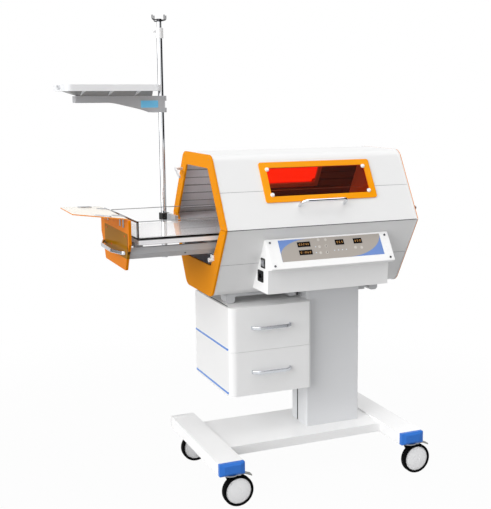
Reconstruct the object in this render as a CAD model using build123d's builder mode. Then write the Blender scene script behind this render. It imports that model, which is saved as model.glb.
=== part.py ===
from build123d import *
import math
import os

os.makedirs("parts", exist_ok=True)

# Infant phototherapy unit: a hexagonal light box on a column and a wheeled base, with a cabinet of two
# drawers, a bed that slides out to the left and a pole with hooks and a shelf. Millimetres, +X right,
# +Y back, +Z up.
# The origin is on the floor, under the middle of the unit's overall box.

# Light box
body_length = 842
body_half_width = 333
seam_height = 1071
hood_height = 280
housing_depth = 290
hood_top_half_width = 170
housing_bottom_half_width = 158
body_corner_radius = 50
shell_thickness = 3
seam_gap = 2
end_plate_thickness = 8
end_plate_overhang = 2
panel_line_width = 1.6
panel_line_depth = 1
hood_panel_line = 161
housing_panel_line = 175

# Openings in the left end rings
opening_half_width = 274
hood_opening_height = 228
hood_opening_top_half_width = 135
housing_opening_depth = 163
housing_opening_bottom_half_width = 155
opening_corner_radius = 16

# Base and casters
wheel_diameter = 125
wheel_width = 32
caster_gap = 11
caster_trail = 30
leg_width = 105
leg_height = 50
leg_wall = 2.5
leg_length = 641
leg_spacing = 806
leg_front_reach = 453
leg_cap_depth = 22
base_offset = 54
front_caster_setback = 30
rear_caster_setback = 92
base_plate_depth = 337
base_plate_height = 37
base_plate_drop = 8
base_plate_setback = 186
base_plate_wall = 3

# Column and cabinet
column_width = 248
column_depth = 153
column_offset_x = 111
column_offset_y = -99
column_wall = 2
cabinet_width = 365
cabinet_depth = 424
cabinet_height = 370
cabinet_top_gap = 42
cabinet_front_reach = 223
cabinet_wall = 2
cabinet_left_radius = 34
cabinet_right_radius = 14
drawer_front_depth = 20

# Bed, door and flap
bed_reach = 349.5
door_half_width = 226
door_depth = 10.5
door_wall = 4
bed_drop = 62
door_rise = 111
flap_length = 186
flap_thickness = 4
flap_tilt = 5
crib_length = 650
crib_width = 435
crib_height = 69
crib_wall = 4
carriage_length = 780

# Pole and shelf
pole_ring_gap = 24
pole_offset_x = -body_length / 2 - end_plate_thickness - pole_ring_gap
pole_offset_y = 401
pole_radius = 13
pole_drop = 210
pole_top = 1845
tray_length = 415
tray_depth = 297
tray_height = 27
tray_bottom = 1605

# Fits shared by many pieces
fit_gap = 0.3
running_gap = 0.05
cut_overrun = 20

# Reach of the unit on each side of the light box's centre, which places the origin
wheel_radius = wheel_diameter / 2
hinge_axis_inset = flap_thickness / 2
flap_cos = math.cos(math.radians(flap_tilt))
flap_sin = math.sin(math.radians(flap_tilt))
reach_left = (body_length / 2 + end_plate_thickness + bed_reach - hinge_axis_inset
              + (flap_thickness + flap_length) * flap_cos + flap_thickness / 2 * flap_sin)
reach_right = leg_spacing / 2 - base_offset + caster_trail + wheel_radius
reach_back = pole_offset_y + tray_depth / 2
body_x = (reach_left - reach_right) / 2
body_y = (leg_front_reach - reach_back) / 2

body_left = body_x - body_length / 2
body_right = body_x + body_length / 2
hood_top = seam_height + hood_height
housing_bottom = seam_height - housing_depth
rail_top = seam_height - bed_drop
door_top_height = rail_top + door_rise
pole_bottom = seam_height - pole_drop
hood_run = body_half_width - hood_top_half_width
housing_run = body_half_width - housing_bottom_half_width
hood_slope = math.hypot(hood_run, hood_height)
housing_slope = math.hypot(housing_run, housing_depth)


def side_plane(x):
    """Plane across the unit at x: its own axes are Y from the light box's centre, and Z."""
    return Plane(origin=(x, body_y, 0), x_dir=(0, 1, 0), z_dir=(1, 0, 0))


def front_plane(y):
    """Plane along the unit at y, facing the front: its own axes are X from the light box's centre, and Z."""
    return Plane(origin=(body_x, y, 0), x_dir=(1, 0, 0), z_dir=(0, -1, 0))


def level(z):
    """Level plane at height z, with the light box's centre as its origin."""
    return Plane.XY.offset(z).shift_origin((body_x, body_y, z))


def add_block(x_low, x_high, y_low, y_high, z_low, z_high, mode=Mode.ADD):
    """A block between two corners, in the light box's own X and Y and the true height."""
    middle = (body_x + (x_low + x_high) / 2, body_y + (y_low + y_high) / 2, (z_low + z_high) / 2)
    with Locations(middle):
        Box(x_high - x_low, y_high - y_low, z_high - z_low, mode=mode)


def keep(piece, name):
    """Labels a finished piece and writes it."""
    piece.part.label = name
    export_step(piece.part, "parts/" + name + ".step")


def inset_run(inset, run, rise):
    """How far a side that leans by run over rise moves along Y when it is inset square to itself."""
    return inset * math.hypot(run, rise) / rise


def half_hexagon(plane, wide, narrow, base_z, tip_z, radius):
    """Half of the hexagon: wide at the seam, narrow at its flat tip, whose corners are rounded."""
    with BuildSketch(plane) as outline:
        with BuildLine():
            Polyline((-wide, base_z), (-narrow, tip_z), (narrow, tip_z), (wide, base_z), close=True)
        make_face()
        tip_group = -1 if tip_z > base_z else 0
        fillet(outline.vertices().group_by(Axis.Y)[tip_group], radius)
    return outline.sketch


def hood_outline(x, inset, seam_offset=seam_gap / 2):
    """The hood's section inset by a wall, with its base that far above the seam."""
    shift = inset_run(inset, hood_run, hood_height)
    lean = hood_run / hood_height
    wide = body_half_width - shift - seam_offset * lean
    narrow = hood_top_half_width - shift + inset * lean
    radius = max(body_corner_radius - inset, shell_thickness)
    return half_hexagon(side_plane(x), wide, narrow, seam_height + seam_offset, hood_top - inset, radius)


def housing_outline(x, inset, seam_offset=seam_gap / 2):
    """The lower housing's section inset by a wall, with its base that far below the seam."""
    shift = inset_run(inset, housing_run, housing_depth)
    lean = housing_run / housing_depth
    wide = body_half_width - shift - seam_offset * lean
    narrow = housing_bottom_half_width - shift + inset * lean
    radius = max(body_corner_radius - inset, shell_thickness)
    base_z = seam_height - seam_offset
    return half_hexagon(side_plane(x), wide, narrow, base_z, housing_bottom + inset, radius)


def hood_front_plane(rise):
    """Plane on the hood's front slope, rise up the slope from the seam, facing out."""
    share = rise / hood_slope
    origin = (body_x, body_y - body_half_width + share * hood_run, seam_height + share * hood_height)
    return Plane(origin=origin, x_dir=(1, 0, 0), z_dir=(0, -hood_height, hood_run))


def hood_back_plane(rise):
    """Plane on the hood's back slope, rise up the slope from the seam, facing out."""
    share = rise / hood_slope
    origin = (body_x, body_y + body_half_width - share * hood_run, seam_height + share * hood_height)
    return Plane(origin=origin, x_dir=(-1, 0, 0), z_dir=(0, hood_height, hood_run))


def housing_front_plane(drop):
    """Plane on the lower housing's front slope, drop down the slope from the seam, facing out."""
    share = drop / housing_slope
    origin = (body_x, body_y - body_half_width + share * housing_run, seam_height - share * housing_depth)
    return Plane(origin=origin, x_dir=(1, 0, 0), z_dir=(0, -housing_depth, -housing_run))


# Base frame: two rectangular legs welded to a shallow pan that is open below
leg_bottom = wheel_diameter + caster_gap
leg_top = leg_bottom + leg_height
base_top = leg_top - base_plate_drop
base_bottom = base_top - base_plate_height
leg_centres = [-base_offset - leg_spacing / 2, -base_offset + leg_spacing / 2]
leg_front = -leg_front_reach
leg_back = leg_front + leg_length
caster_rows = [leg_front + front_caster_setback, leg_back - rear_caster_setback]
stem_radius = 6
plate_left = leg_centres[0] + leg_width / 2
plate_right = leg_centres[1] - leg_width / 2
plate_front = leg_front + base_plate_setback
plate_back = plate_front + base_plate_depth

with BuildPart() as base_frame:
    for leg_x in leg_centres:
        add_block(leg_x - leg_width / 2, leg_x + leg_width / 2, leg_front + leg_cap_depth,
                  leg_back - leg_cap_depth, leg_bottom, leg_top)
    add_block(plate_left, plate_right, plate_front, plate_back, base_bottom, base_top)
    for leg_x in leg_centres:
        add_block(leg_x - leg_width / 2 + leg_wall, leg_x + leg_width / 2 - leg_wall,
                  leg_front, leg_back, leg_bottom + leg_wall, leg_top - leg_wall, Mode.SUBTRACT)
        for row_y in caster_rows:
            with Locations((body_x + leg_x, body_y + row_y, leg_bottom)):
                Cylinder(stem_radius + running_gap, cut_overrun, mode=Mode.SUBTRACT)
    add_block(plate_left, plate_right, plate_front + base_plate_wall, plate_back - base_plate_wall,
              base_bottom - base_plate_wall, base_top - base_plate_wall, Mode.SUBTRACT)
keep(base_frame, "base_frame")

# Leg end caps: a plug in the tube and a face with four shallow facets
cap_plug_depth = 18
cap_plug_height = 18
cap_plug_gap = 0.4
cap_facet_depth = 7
cap_facet_share = 0.62
cap_corner_radius = 3

with BuildPart() as leg_end_caps:
    for leg_x in leg_centres:
        for outward, face_y in ((-1, leg_front + leg_cap_depth), (1, leg_back - leg_cap_depth)):
            rim_plane = Plane(origin=(body_x + leg_x, body_y + face_y, (leg_bottom + leg_top) / 2),
                              x_dir=(1, 0, 0), z_dir=(0, outward, 0))
            rim_depth = leg_cap_depth - cap_facet_depth
            with BuildSketch(rim_plane) as rim:
                RectangleRounded(leg_width, leg_height, cap_corner_radius)
            extrude(rim.sketch, amount=rim_depth)
            with BuildSketch(rim_plane.offset(rim_depth)) as facet_base:
                RectangleRounded(leg_width, leg_height, cap_corner_radius)
            with BuildSketch(rim_plane.offset(leg_cap_depth)) as facet_tip:
                RectangleRounded(leg_width * cap_facet_share, leg_height * cap_facet_share, cap_corner_radius)
            loft(sections=[facet_base.sketch, facet_tip.sketch])
            with BuildSketch(rim_plane) as plug:
                with Locations((0, leg_height / 2 - leg_wall - cap_plug_gap - cap_plug_height / 2)):
                    Rectangle(leg_width - 2 * (leg_wall + cap_plug_gap), cap_plug_height)
            extrude(plug.sketch, amount=-cap_plug_depth)
keep(leg_end_caps, "leg_end_caps")

# Casters: a yoke with one side arm, a wheel of disc and tyre, and a brake pedal
tyre_wall = 10.5
tyre_round = 7
disc_width = 29
disc_rim = 4
disc_recess = 4
disc_hub_radius = 12
axle_radius = 6
axle_tip_gap = 5
yoke_plate_radius = 30
yoke_plate_thickness = 4.7
yoke_arm_thickness = 6
yoke_arm_gap = 1.5
yoke_hub_radius = 17
stem_length = 16
pedal_pivot_x = 36
pedal_pivot_drop = 6
pedal_pin_radius = 2
pedal_eye_radius = 3.5
pedal_width = 24
pedal_reach = 86
pedal_fall = 10
pedal_lip = 3
pedal_thickness = 4
pedal_ear_thickness = 3
pedal_knee_share = 0.45
yoke_plate_top = leg_bottom - fit_gap
pedal_pivot_z = leg_bottom - pedal_pivot_drop
arm_near = wheel_width / 2 + yoke_arm_gap
arm_far = arm_near + yoke_arm_thickness


def caster_plane(caster_x, caster_y, offset):
    """Upright plane through a caster's stem facing the back, offset that far behind it."""
    return Plane(origin=(caster_x, caster_y + offset, 0), x_dir=(-1, 0, 0), z_dir=(0, 1, 0))


def caster_yoke(caster_x, caster_y):
    """Stem, top plate, side arm behind the wheel, fixed axle and the ears of the pedal."""
    with BuildPart() as yoke:
        with Locations((caster_x, caster_y, yoke_plate_top - yoke_plate_thickness / 2)):
            Cylinder(yoke_plate_radius, yoke_plate_thickness)
        with Locations((caster_x, caster_y, yoke_plate_top + stem_length / 2)):
            Cylinder(stem_radius, stem_length)
        with BuildSketch(caster_plane(caster_x, caster_y, arm_near)) as arm:
            with BuildLine():
                Polyline((yoke_plate_radius - yoke_arm_thickness, yoke_plate_top),
                         (-yoke_plate_radius + yoke_arm_thickness, yoke_plate_top),
                         (-caster_trail - yoke_hub_radius, wheel_radius),
                         (-caster_trail + yoke_hub_radius, wheel_radius), close=True)
            make_face()
            with Locations((-caster_trail, wheel_radius)):
                Circle(yoke_hub_radius)
        extrude(arm.sketch, amount=yoke_arm_thickness)
        with BuildSketch(caster_plane(caster_x, caster_y, arm_far)) as axle:
            with Locations((-caster_trail, wheel_radius)):
                Circle(axle_radius)
        extrude(axle.sketch, amount=-(arm_far + disc_width / 2 - axle_tip_gap))
        for side in (-1, 1):
            ear_y = side * (pedal_width / 2 + fit_gap + pedal_ear_thickness / 2)
            with BuildSketch(caster_plane(caster_x, caster_y, ear_y - pedal_ear_thickness / 2)) as ear:
                with BuildLine():
                    Polyline((-pedal_pivot_x, pedal_pivot_z + pedal_eye_radius),
                             (-pedal_pivot_x, pedal_pivot_z - pedal_eye_radius),
                             (-yoke_plate_radius / 2, pedal_pivot_z - pedal_eye_radius + pedal_pin_radius),
                             (-yoke_plate_radius / 2, yoke_plate_top), close=True)
                make_face()
                with Locations((-pedal_pivot_x, pedal_pivot_z)):
                    Circle(pedal_eye_radius)
            extrude(ear.sketch, amount=pedal_ear_thickness)
        pin_half = pedal_width / 2 + fit_gap + pedal_ear_thickness
        with BuildSketch(caster_plane(caster_x, caster_y, -pin_half)) as pin:
            with Locations((-pedal_pivot_x, pedal_pivot_z)):
                Circle(pedal_pin_radius)
        extrude(pin.sketch, amount=2 * pin_half)
    return yoke


def caster_wheel(caster_x, caster_y):
    """A domed disc with a blind bearing bore, inside a rounded tyre."""
    disc_radius = wheel_radius - tyre_wall
    axle_line = Plane(origin=(caster_x + caster_trail, caster_y, wheel_radius), x_dir=(1, 0, 0),
                      z_dir=(0, 1, 0))
    with BuildPart() as wheel:
        with BuildSketch(axle_line.offset(-wheel_width / 2)) as tyre:
            Circle(wheel_radius)
            Circle(disc_radius, mode=Mode.SUBTRACT)
        extrude(tyre.sketch, amount=wheel_width)
        fillet(wheel.edges().filter_by(GeomType.CIRCLE).group_by(SortBy.RADIUS)[-1], tyre_round)
        with BuildSketch(axle_line.offset(-disc_width / 2)) as disc:
            Circle(disc_radius)
        extrude(disc.sketch, amount=disc_width)
        with BuildSketch(axle_line.offset(disc_width / 2)) as back_recess:
            Circle(disc_radius - disc_rim)
            Circle(disc_hub_radius, mode=Mode.SUBTRACT)
        extrude(back_recess.sketch, amount=-disc_recess, mode=Mode.SUBTRACT)
        with BuildSketch(axle_line.offset(disc_width / 2)) as bore:
            Circle(axle_radius + running_gap)
        extrude(bore.sketch, amount=-(disc_width - axle_tip_gap + fit_gap), mode=Mode.SUBTRACT)
    return wheel


def caster_pedal(caster_x, caster_y):
    """A bent plate with an eye on the pedal's pin."""
    tip_x = -pedal_reach
    knee_x = -pedal_pivot_x + pedal_knee_share * (tip_x + pedal_pivot_x)
    half = pedal_thickness / 2
    with BuildPart() as pedal:
        with BuildSketch(caster_plane(caster_x, caster_y, -pedal_width / 2)) as plate:
            with BuildLine():
                Polyline((-pedal_pivot_x, pedal_pivot_z + half), (knee_x, pedal_pivot_z + half),
                         (tip_x, pedal_pivot_z + half - pedal_fall),
                         (tip_x, pedal_pivot_z - half - pedal_fall - pedal_lip),
                         (tip_x + pedal_thickness, pedal_pivot_z - half - pedal_fall),
                         (knee_x, pedal_pivot_z - half), (-pedal_pivot_x, pedal_pivot_z - half), close=True)
            make_face()
            with Locations((-pedal_pivot_x, pedal_pivot_z)):
                Circle(pedal_eye_radius)
                Circle(pedal_pin_radius + running_gap, mode=Mode.SUBTRACT)
        extrude(plate.sketch, amount=pedal_width)
    return pedal


for row_name, row_y in zip(("front", "rear"), caster_rows):
    for side_name, leg_x in zip(("left", "right"), leg_centres):
        place = "caster_" + row_name + "_" + side_name
        keep(caster_yoke(body_x + leg_x, body_y + row_y), place + "_yoke")
        keep(caster_wheel(body_x + leg_x, body_y + row_y), place + "_wheel")
        keep(caster_pedal(body_x + leg_x, body_y + row_y), place + "_pedal")

# Support frame: a post inside the column, two long bars under the light box, cross bars and octagonal blocks
cabinet_top = housing_bottom - cabinet_top_gap
post_width = 140
post_depth = 80
post_wall = 4
post_flange_width = 210
post_flange_depth = 120
post_flange_thickness = 8
long_bar_width = 24
long_bar_height = 15
long_bar_half_length = 335
long_bar_half_spacing = 112
cross_bar_width = 30
cross_bar_height = 20
cross_bar_gap = 26
block_length = 40
block_depth = 58
block_corner = 9
column_left = column_offset_x - column_width / 2
column_right = column_offset_x + column_width / 2
column_front = column_offset_y - column_depth / 2
bar_top = housing_bottom - fit_gap
bar_bottom = bar_top - long_bar_height
cross_bar_bottom = bar_bottom - cross_bar_height
post_foot = base_top + fit_gap
cross_bar_centres = [column_left - cross_bar_gap - cross_bar_width / 2,
                     column_right + cross_bar_gap + cross_bar_width / 2]

with BuildPart() as support_frame:
    add_block(column_offset_x - post_width / 2, column_offset_x + post_width / 2,
              column_offset_y - post_depth / 2, column_offset_y + post_depth / 2, post_foot, bar_bottom)
    add_block(column_offset_x - post_width / 2 + post_wall, column_offset_x + post_width / 2 - post_wall,
              column_offset_y - post_depth / 2 + post_wall, column_offset_y + post_depth / 2 - post_wall,
              post_foot, bar_bottom - post_wall, Mode.SUBTRACT)
    add_block(column_offset_x - post_flange_width / 2, column_offset_x + post_flange_width / 2,
              column_offset_y - post_flange_depth / 2, column_offset_y + post_flange_depth / 2,
              post_foot, post_foot + post_flange_thickness)
    for side in (-1, 1):
        bar_y = side * long_bar_half_spacing
        add_block(-long_bar_half_length, long_bar_half_length, bar_y - long_bar_width / 2,
                  bar_y + long_bar_width / 2, bar_bottom, bar_top)
        block_near = side * (long_bar_half_spacing + long_bar_width / 2)
        block_far = block_near - side * block_depth
        block_low = min(block_near, block_far)
        block_bottom = cabinet_top + fit_gap
        block_middle = (block_bottom + bar_top) / 2
        octagon_plane = front_plane(body_y + block_low + block_depth)
        with BuildSketch(octagon_plane) as octagon:
            with Locations((-long_bar_half_length, block_middle), (long_bar_half_length, block_middle)):
                Rectangle(block_length, bar_top - block_bottom)
            chamfer(octagon.vertices(), block_corner)
        extrude(octagon.sketch, amount=block_depth)
    for cross_x in cross_bar_centres:
        add_block(cross_x - cross_bar_width / 2, cross_x + cross_bar_width / 2,
                  -long_bar_half_spacing - long_bar_width / 2, long_bar_half_spacing + long_bar_width / 2,
                  cross_bar_bottom, bar_bottom)
keep(support_frame, "support_frame")

# Column casing: a folded sheet round the post, with a long slot on its left side and a small cover
column_corner_radius = 5
column_top_gap = 2
slot_width = 5
slot_from_front = 94
corner_line_from_front = 36
cover_width = 42
cover_height = 76
cover_side_gap = 11
cover_foot_gap = 21
cover_thickness = 1
bar_notch_gap = 1.5
casing_bottom = base_top + fit_gap
casing_top = housing_bottom - column_top_gap

with BuildPart() as column_casing:
    with BuildSketch(level(casing_bottom)) as column_outline:
        with Locations((column_offset_x, column_offset_y)):
            RectangleRounded(column_width, column_depth, column_corner_radius)
            RectangleRounded(column_width - 2 * column_wall, column_depth - 2 * column_wall,
                             column_corner_radius - column_wall, mode=Mode.SUBTRACT)
    extrude(column_outline.sketch, amount=casing_top - casing_bottom)
    add_block(column_left - column_wall, column_left + 2 * column_wall,
              column_front + slot_from_front - slot_width / 2,
              column_front + slot_from_front + slot_width / 2, casing_bottom + cover_foot_gap,
              casing_top - cover_height, Mode.SUBTRACT)
    add_block(column_left, column_left + column_wall / 2, column_front + corner_line_from_front,
              column_front + corner_line_from_front + column_wall, casing_bottom, casing_top, Mode.SUBTRACT)
    add_block(column_left - cut_overrun, column_right + cut_overrun,
              -long_bar_half_spacing - long_bar_width / 2 - bar_notch_gap,
              -long_bar_half_spacing + long_bar_width / 2 + bar_notch_gap,
              bar_bottom - bar_notch_gap, casing_top, Mode.SUBTRACT)
    add_block(column_right - cover_side_gap - cover_width, column_right - cover_side_gap,
              column_front - cover_thickness, column_front, casing_bottom + cover_foot_gap,
              casing_bottom + cover_foot_gap + cover_height)
keep(column_casing, "column_casing")

# Cabinet: a shell with a rounded front-left corner, a divider and runner ledges, and two drawers
cabinet_right = column_left - fit_gap
cabinet_left = cabinet_right - cabinet_width
cabinet_front = -cabinet_front_reach
cabinet_back = cabinet_front + cabinet_depth
cabinet_bottom = cabinet_top - cabinet_height
cabinet_middle = (cabinet_top + cabinet_bottom) / 2
shell_front = cabinet_front + drawer_front_depth + fit_gap
divider_thickness = 12
runner_width = 20
runner_thickness = 3
drawer_side_gap = 13
drawer_box_height = 140
drawer_box_depth = 380
drawer_box_wall = 1.5
drawer_foot_gap = 18
drawer_split_gap = 1


def cabinet_outline(z, inset):
    """The cabinet's plan, with its two front corners rounded."""
    with BuildSketch(level(z)) as outline:
        with Locations(((cabinet_left + cabinet_right) / 2, (cabinet_front + cabinet_back) / 2)):
            Rectangle(cabinet_width - 2 * inset, cabinet_depth - 2 * inset)
        front_corners = outline.vertices().group_by(Axis.Y)[0].sort_by(Axis.X)
        fillet(front_corners[0], cabinet_left_radius - inset)
        fillet(outline.vertices().group_by(Axis.Y)[0].sort_by(Axis.X)[-1], cabinet_right_radius - inset)
    return outline.sketch


with BuildPart() as cabinet_shell:
    extrude(cabinet_outline(cabinet_bottom, 0), amount=cabinet_height)
    extrude(cabinet_outline(cabinet_bottom + cabinet_wall, cabinet_wall),
            amount=cabinet_height - 2 * cabinet_wall, mode=Mode.SUBTRACT)
    add_block(cabinet_left - cut_overrun, cabinet_right + cut_overrun, cabinet_front - cut_overrun,
              shell_front, cabinet_bottom - cut_overrun, cabinet_top + cut_overrun, Mode.SUBTRACT)
    add_block(cabinet_left + cabinet_left_radius, cabinet_right - cabinet_right_radius, shell_front,
              shell_front + divider_thickness, cabinet_middle - cabinet_wall / 2,
              cabinet_middle + cabinet_wall / 2)
    for drawer_floor in (cabinet_bottom + drawer_foot_gap, cabinet_middle + drawer_foot_gap):
        ledge_top = drawer_floor - fit_gap
        for wall_x, inward in ((cabinet_left + cabinet_wall / 2, 1), (cabinet_right - cabinet_wall / 2, -1)):
            ledge_far = wall_x + inward * runner_width
            add_block(min(wall_x, ledge_far), max(wall_x, ledge_far), shell_front + cabinet_left_radius,
                      cabinet_back - cabinet_wall / 2, ledge_top - runner_thickness, ledge_top)
    add_block(cabinet_left + cabinet_wall / 2, cabinet_left + cabinet_left_radius + cabinet_wall,
              shell_front + divider_thickness, shell_front + divider_thickness + cabinet_wall,
              cabinet_middle - cabinet_wall / 2, cabinet_middle + cabinet_wall / 2)
keep(cabinet_shell, "cabinet_shell")

handle_span = 168
handle_middle = 120
handle_stand = 28
handle_bar_width = 15
handle_bar_thickness = 8
handle_foot_rise = 9
handle_bend_radius = 8
handle_edge_radius = 3
handle_rise = 6


def drawer_front(z_low, z_high):
    """A moulded front with the cabinet's rounded corners."""
    with BuildPart() as front:
        extrude(cabinet_outline(z_low, 0), amount=z_high - z_low)
        add_block(cabinet_left - cut_overrun, cabinet_right + cut_overrun, cabinet_front + drawer_front_depth,
                  cabinet_back + cut_overrun, z_low - cut_overrun, z_high + cut_overrun, Mode.SUBTRACT)
    return front


def drawer_box(floor_z):
    """An open sheet box behind the front."""
    left = cabinet_left + drawer_side_gap + cabinet_wall
    right = cabinet_right - drawer_side_gap - cabinet_wall
    front = cabinet_front + drawer_front_depth
    back = front + drawer_box_depth
    with BuildPart() as box:
        add_block(left, right, front, back, floor_z, floor_z + drawer_box_height)
        add_block(left + drawer_box_wall, right - drawer_box_wall, front + drawer_box_wall,
                  back - drawer_box_wall, floor_z + drawer_box_wall,
                  floor_z + drawer_box_height + drawer_box_wall, Mode.SUBTRACT)
    return box


def bow_handle(foot_plane, span, middle, stand):
    """A flat bar bent into a bow, standing on foot_plane with its feet along the plane's X."""
    path_plane = Plane(origin=foot_plane.origin, x_dir=foot_plane.x_dir, z_dir=-foot_plane.y_dir)
    with BuildPart() as handle:
        with BuildLine(path_plane) as path:
            FilletPolyline((-span / 2, 0), (-span / 2, handle_foot_rise), (-middle / 2, stand),
                           (middle / 2, stand), (span / 2, handle_foot_rise), (span / 2, 0),
                           radius=handle_bend_radius)
        foot = Plane(origin=path.line @ 0, x_dir=foot_plane.y_dir, z_dir=foot_plane.z_dir)
        with BuildSketch(foot) as section:
            RectangleRounded(handle_bar_width, handle_bar_thickness, handle_edge_radius)
        sweep(sections=section.sketch, path=path.line)
    return handle


drawer_rows = (("lower", cabinet_bottom, cabinet_middle - drawer_split_gap / 2),
               ("upper", cabinet_middle + drawer_split_gap / 2, cabinet_top - drawer_split_gap / 2))
for drawer_name, front_low, front_high in drawer_rows:
    box_floor = (cabinet_bottom if drawer_name == "lower" else cabinet_middle) + drawer_foot_gap
    keep(drawer_front(front_low, front_high), drawer_name + "_drawer_front")
    keep(drawer_box(box_floor), drawer_name + "_drawer_box")
    handle_place = Plane(origin=(body_x + (cabinet_left + cabinet_right) / 2, body_y + cabinet_front,
                                 (front_low + front_high) / 2 + handle_rise),
                         x_dir=(1, 0, 0), z_dir=(0, -1, 0))
    keep(bow_handle(handle_place, handle_span, handle_middle, handle_stand), drawer_name + "_drawer_handle")

# Lower housing: the lower half of the hexagonal shell, open at the seam
with BuildPart() as lower_housing:
    extrude(housing_outline(body_left, 0), amount=body_length)
    extrude(housing_outline(body_left - cut_overrun, shell_thickness, -cut_overrun),
            amount=body_length + 2 * cut_overrun, mode=Mode.SUBTRACT)
    with BuildSketch(housing_front_plane(housing_panel_line)) as housing_line:
        Rectangle(body_length + 2 * cut_overrun, panel_line_width)
    extrude(housing_line.sketch, amount=-panel_line_depth, mode=Mode.SUBTRACT)
keep(lower_housing, "lower_housing")

# End rings and end panels: orange plates screwed to the ends of the two shells
with BuildPart() as lower_end_ring:
    extrude(housing_outline(body_left - end_plate_thickness, -end_plate_overhang), amount=end_plate_thickness)
    lower_opening = half_hexagon(side_plane(body_left - end_plate_thickness), opening_half_width,
                                 housing_opening_bottom_half_width, seam_height,
                                 seam_height - housing_opening_depth, opening_corner_radius)
    extrude(lower_opening, amount=end_plate_thickness, mode=Mode.SUBTRACT)
keep(lower_end_ring, "lower_end_ring")

with BuildPart() as lower_end_panel:
    extrude(housing_outline(body_right, -end_plate_overhang), amount=end_plate_thickness)
keep(lower_end_panel, "lower_end_panel")

with BuildPart() as hood_end_ring:
    extrude(hood_outline(body_left - end_plate_thickness, -end_plate_overhang), amount=end_plate_thickness)
    upper_opening = half_hexagon(side_plane(body_left - end_plate_thickness), opening_half_width,
                                 hood_opening_top_half_width, seam_height,
                                 seam_height + hood_opening_height, opening_corner_radius)
    extrude(upper_opening, amount=end_plate_thickness, mode=Mode.SUBTRACT)
keep(hood_end_ring, "hood_end_ring")

with BuildPart() as hood_end_panel:
    extrude(hood_outline(body_right, -end_plate_overhang), amount=end_plate_thickness)
keep(hood_end_panel, "hood_end_panel")

# Hood hinges: two pins in leaves on the housing's back edge, and eyes on the hood
hinge_spacing = 560
hinge_length = 60
hinge_pin_radius = 4
hinge_eye_radius = 8
hinge_reach = 11
hinge_leaf_thickness = 3
hinge_leaf_drop = 46
eye_length = 28
hinge_y = body_half_width + hinge_reach
knuckle_length = (hinge_length - eye_length) / 2 - fit_gap
housing_lean = housing_run / housing_depth


def hinge_plane(x):
    """Plane square to the hood's hinge pins at x, centred on them."""
    return Plane(origin=(body_x + x, body_y + hinge_y, seam_height), x_dir=(0, 1, 0), z_dir=(1, 0, 0))


with BuildPart() as hood_hinges:
    for hinge_x in (-hinge_spacing / 2, hinge_spacing / 2):
        with BuildSketch(hinge_plane(hinge_x - hinge_length / 2)) as pin:
            Circle(hinge_pin_radius)
        extrude(pin.sketch, amount=hinge_length)
        for start in (-hinge_length / 2, hinge_length / 2 - knuckle_length):
            with BuildSketch(hinge_plane(hinge_x + start)) as knuckle:
                Circle(hinge_eye_radius)
            extrude(knuckle.sketch, amount=knuckle_length)
            with BuildSketch(hinge_plane(hinge_x + start)) as leaf:
                top_y = -hinge_reach
                drop_y = -hinge_reach - hinge_leaf_drop * housing_lean
                clear = inset_run(fit_gap, housing_run, housing_depth)
                thick = inset_run(hinge_leaf_thickness, housing_run, housing_depth) + clear
                with BuildLine():
                    Polyline((hinge_eye_radius / 2, -hinge_eye_radius / 2),
                             (top_y + clear - hinge_eye_radius * housing_lean, -hinge_eye_radius),
                             (drop_y + clear, -hinge_leaf_drop), (drop_y + thick, -hinge_leaf_drop),
                             close=True)
                make_face()
            extrude(leaf.sketch, amount=knuckle_length)
keep(hood_hinges, "hood_hinges")

# Hood shell: the upper half of the hexagonal shell with a window in each slope and the hinge eyes
window_rise = 196
window_offset = 13
window_corner_radius = 6
pane_width = 498
pane_height = 176
pane_thickness = 5
pane_corner_radius = 10
window_side_margin = 28.5
window_end_margin = 25
window_width = pane_width - 2 * window_side_margin
window_height = pane_height - 2 * window_end_margin
window_screw_inset = 32
window_screw_drop = 32
window_screw_half_span = pane_width / 2 - window_screw_inset
window_screw_half_rise = pane_height / 2 - window_screw_drop
window_screw_radius = 2.5
window_screw_head_radius = 9
window_screw_head_height = 6
window_screw_head_taper = 25
window_screw_length = 14
window_screw_gap = 0.1
hood_lean = hood_run / hood_height
eye_root = -hinge_reach - shell_thickness / 2
window_planes = (hood_front_plane(window_rise), hood_back_plane(window_rise))
window_shifts = (window_offset, -window_offset)

with BuildPart() as hood_shell:
    extrude(hood_outline(body_left, 0), amount=body_length)
    extrude(hood_outline(body_left - cut_overrun, shell_thickness, -cut_overrun),
            amount=body_length + 2 * cut_overrun, mode=Mode.SUBTRACT)
    for window_plane, window_shift in zip(window_planes, window_shifts):
        with BuildSketch(window_plane) as window_hole:
            with Locations((window_shift, 0)):
                RectangleRounded(window_width, window_height, window_corner_radius)
            with Locations((window_shift, 0)):
                with GridLocations(2 * window_screw_half_span, 2 * window_screw_half_rise, 2, 2):
                    Circle(window_screw_radius + window_screw_gap)
        extrude(window_hole.sketch, amount=-2 * shell_thickness, mode=Mode.SUBTRACT)
    with BuildSketch(hood_front_plane(hood_panel_line)) as hood_line:
        Rectangle(body_length + 2 * cut_overrun, panel_line_width)
    extrude(hood_line.sketch, amount=-panel_line_depth, mode=Mode.SUBTRACT)
    for hinge_x in (-hinge_spacing / 2, hinge_spacing / 2):
        with BuildSketch(hinge_plane(hinge_x - eye_length / 2)) as eye:
            Circle(hinge_eye_radius)
            with BuildLine():
                Polyline((hinge_eye_radius / 2, hinge_eye_radius / 2),
                         (eye_root - seam_gap * hood_lean, seam_gap),
                         (eye_root - hinge_leaf_drop * hood_lean, hinge_leaf_drop), close=True)
            make_face()
            Circle(hinge_pin_radius + running_gap, mode=Mode.SUBTRACT)
        extrude(eye.sketch, amount=eye_length)
keep(hood_shell, "hood_shell")

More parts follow.
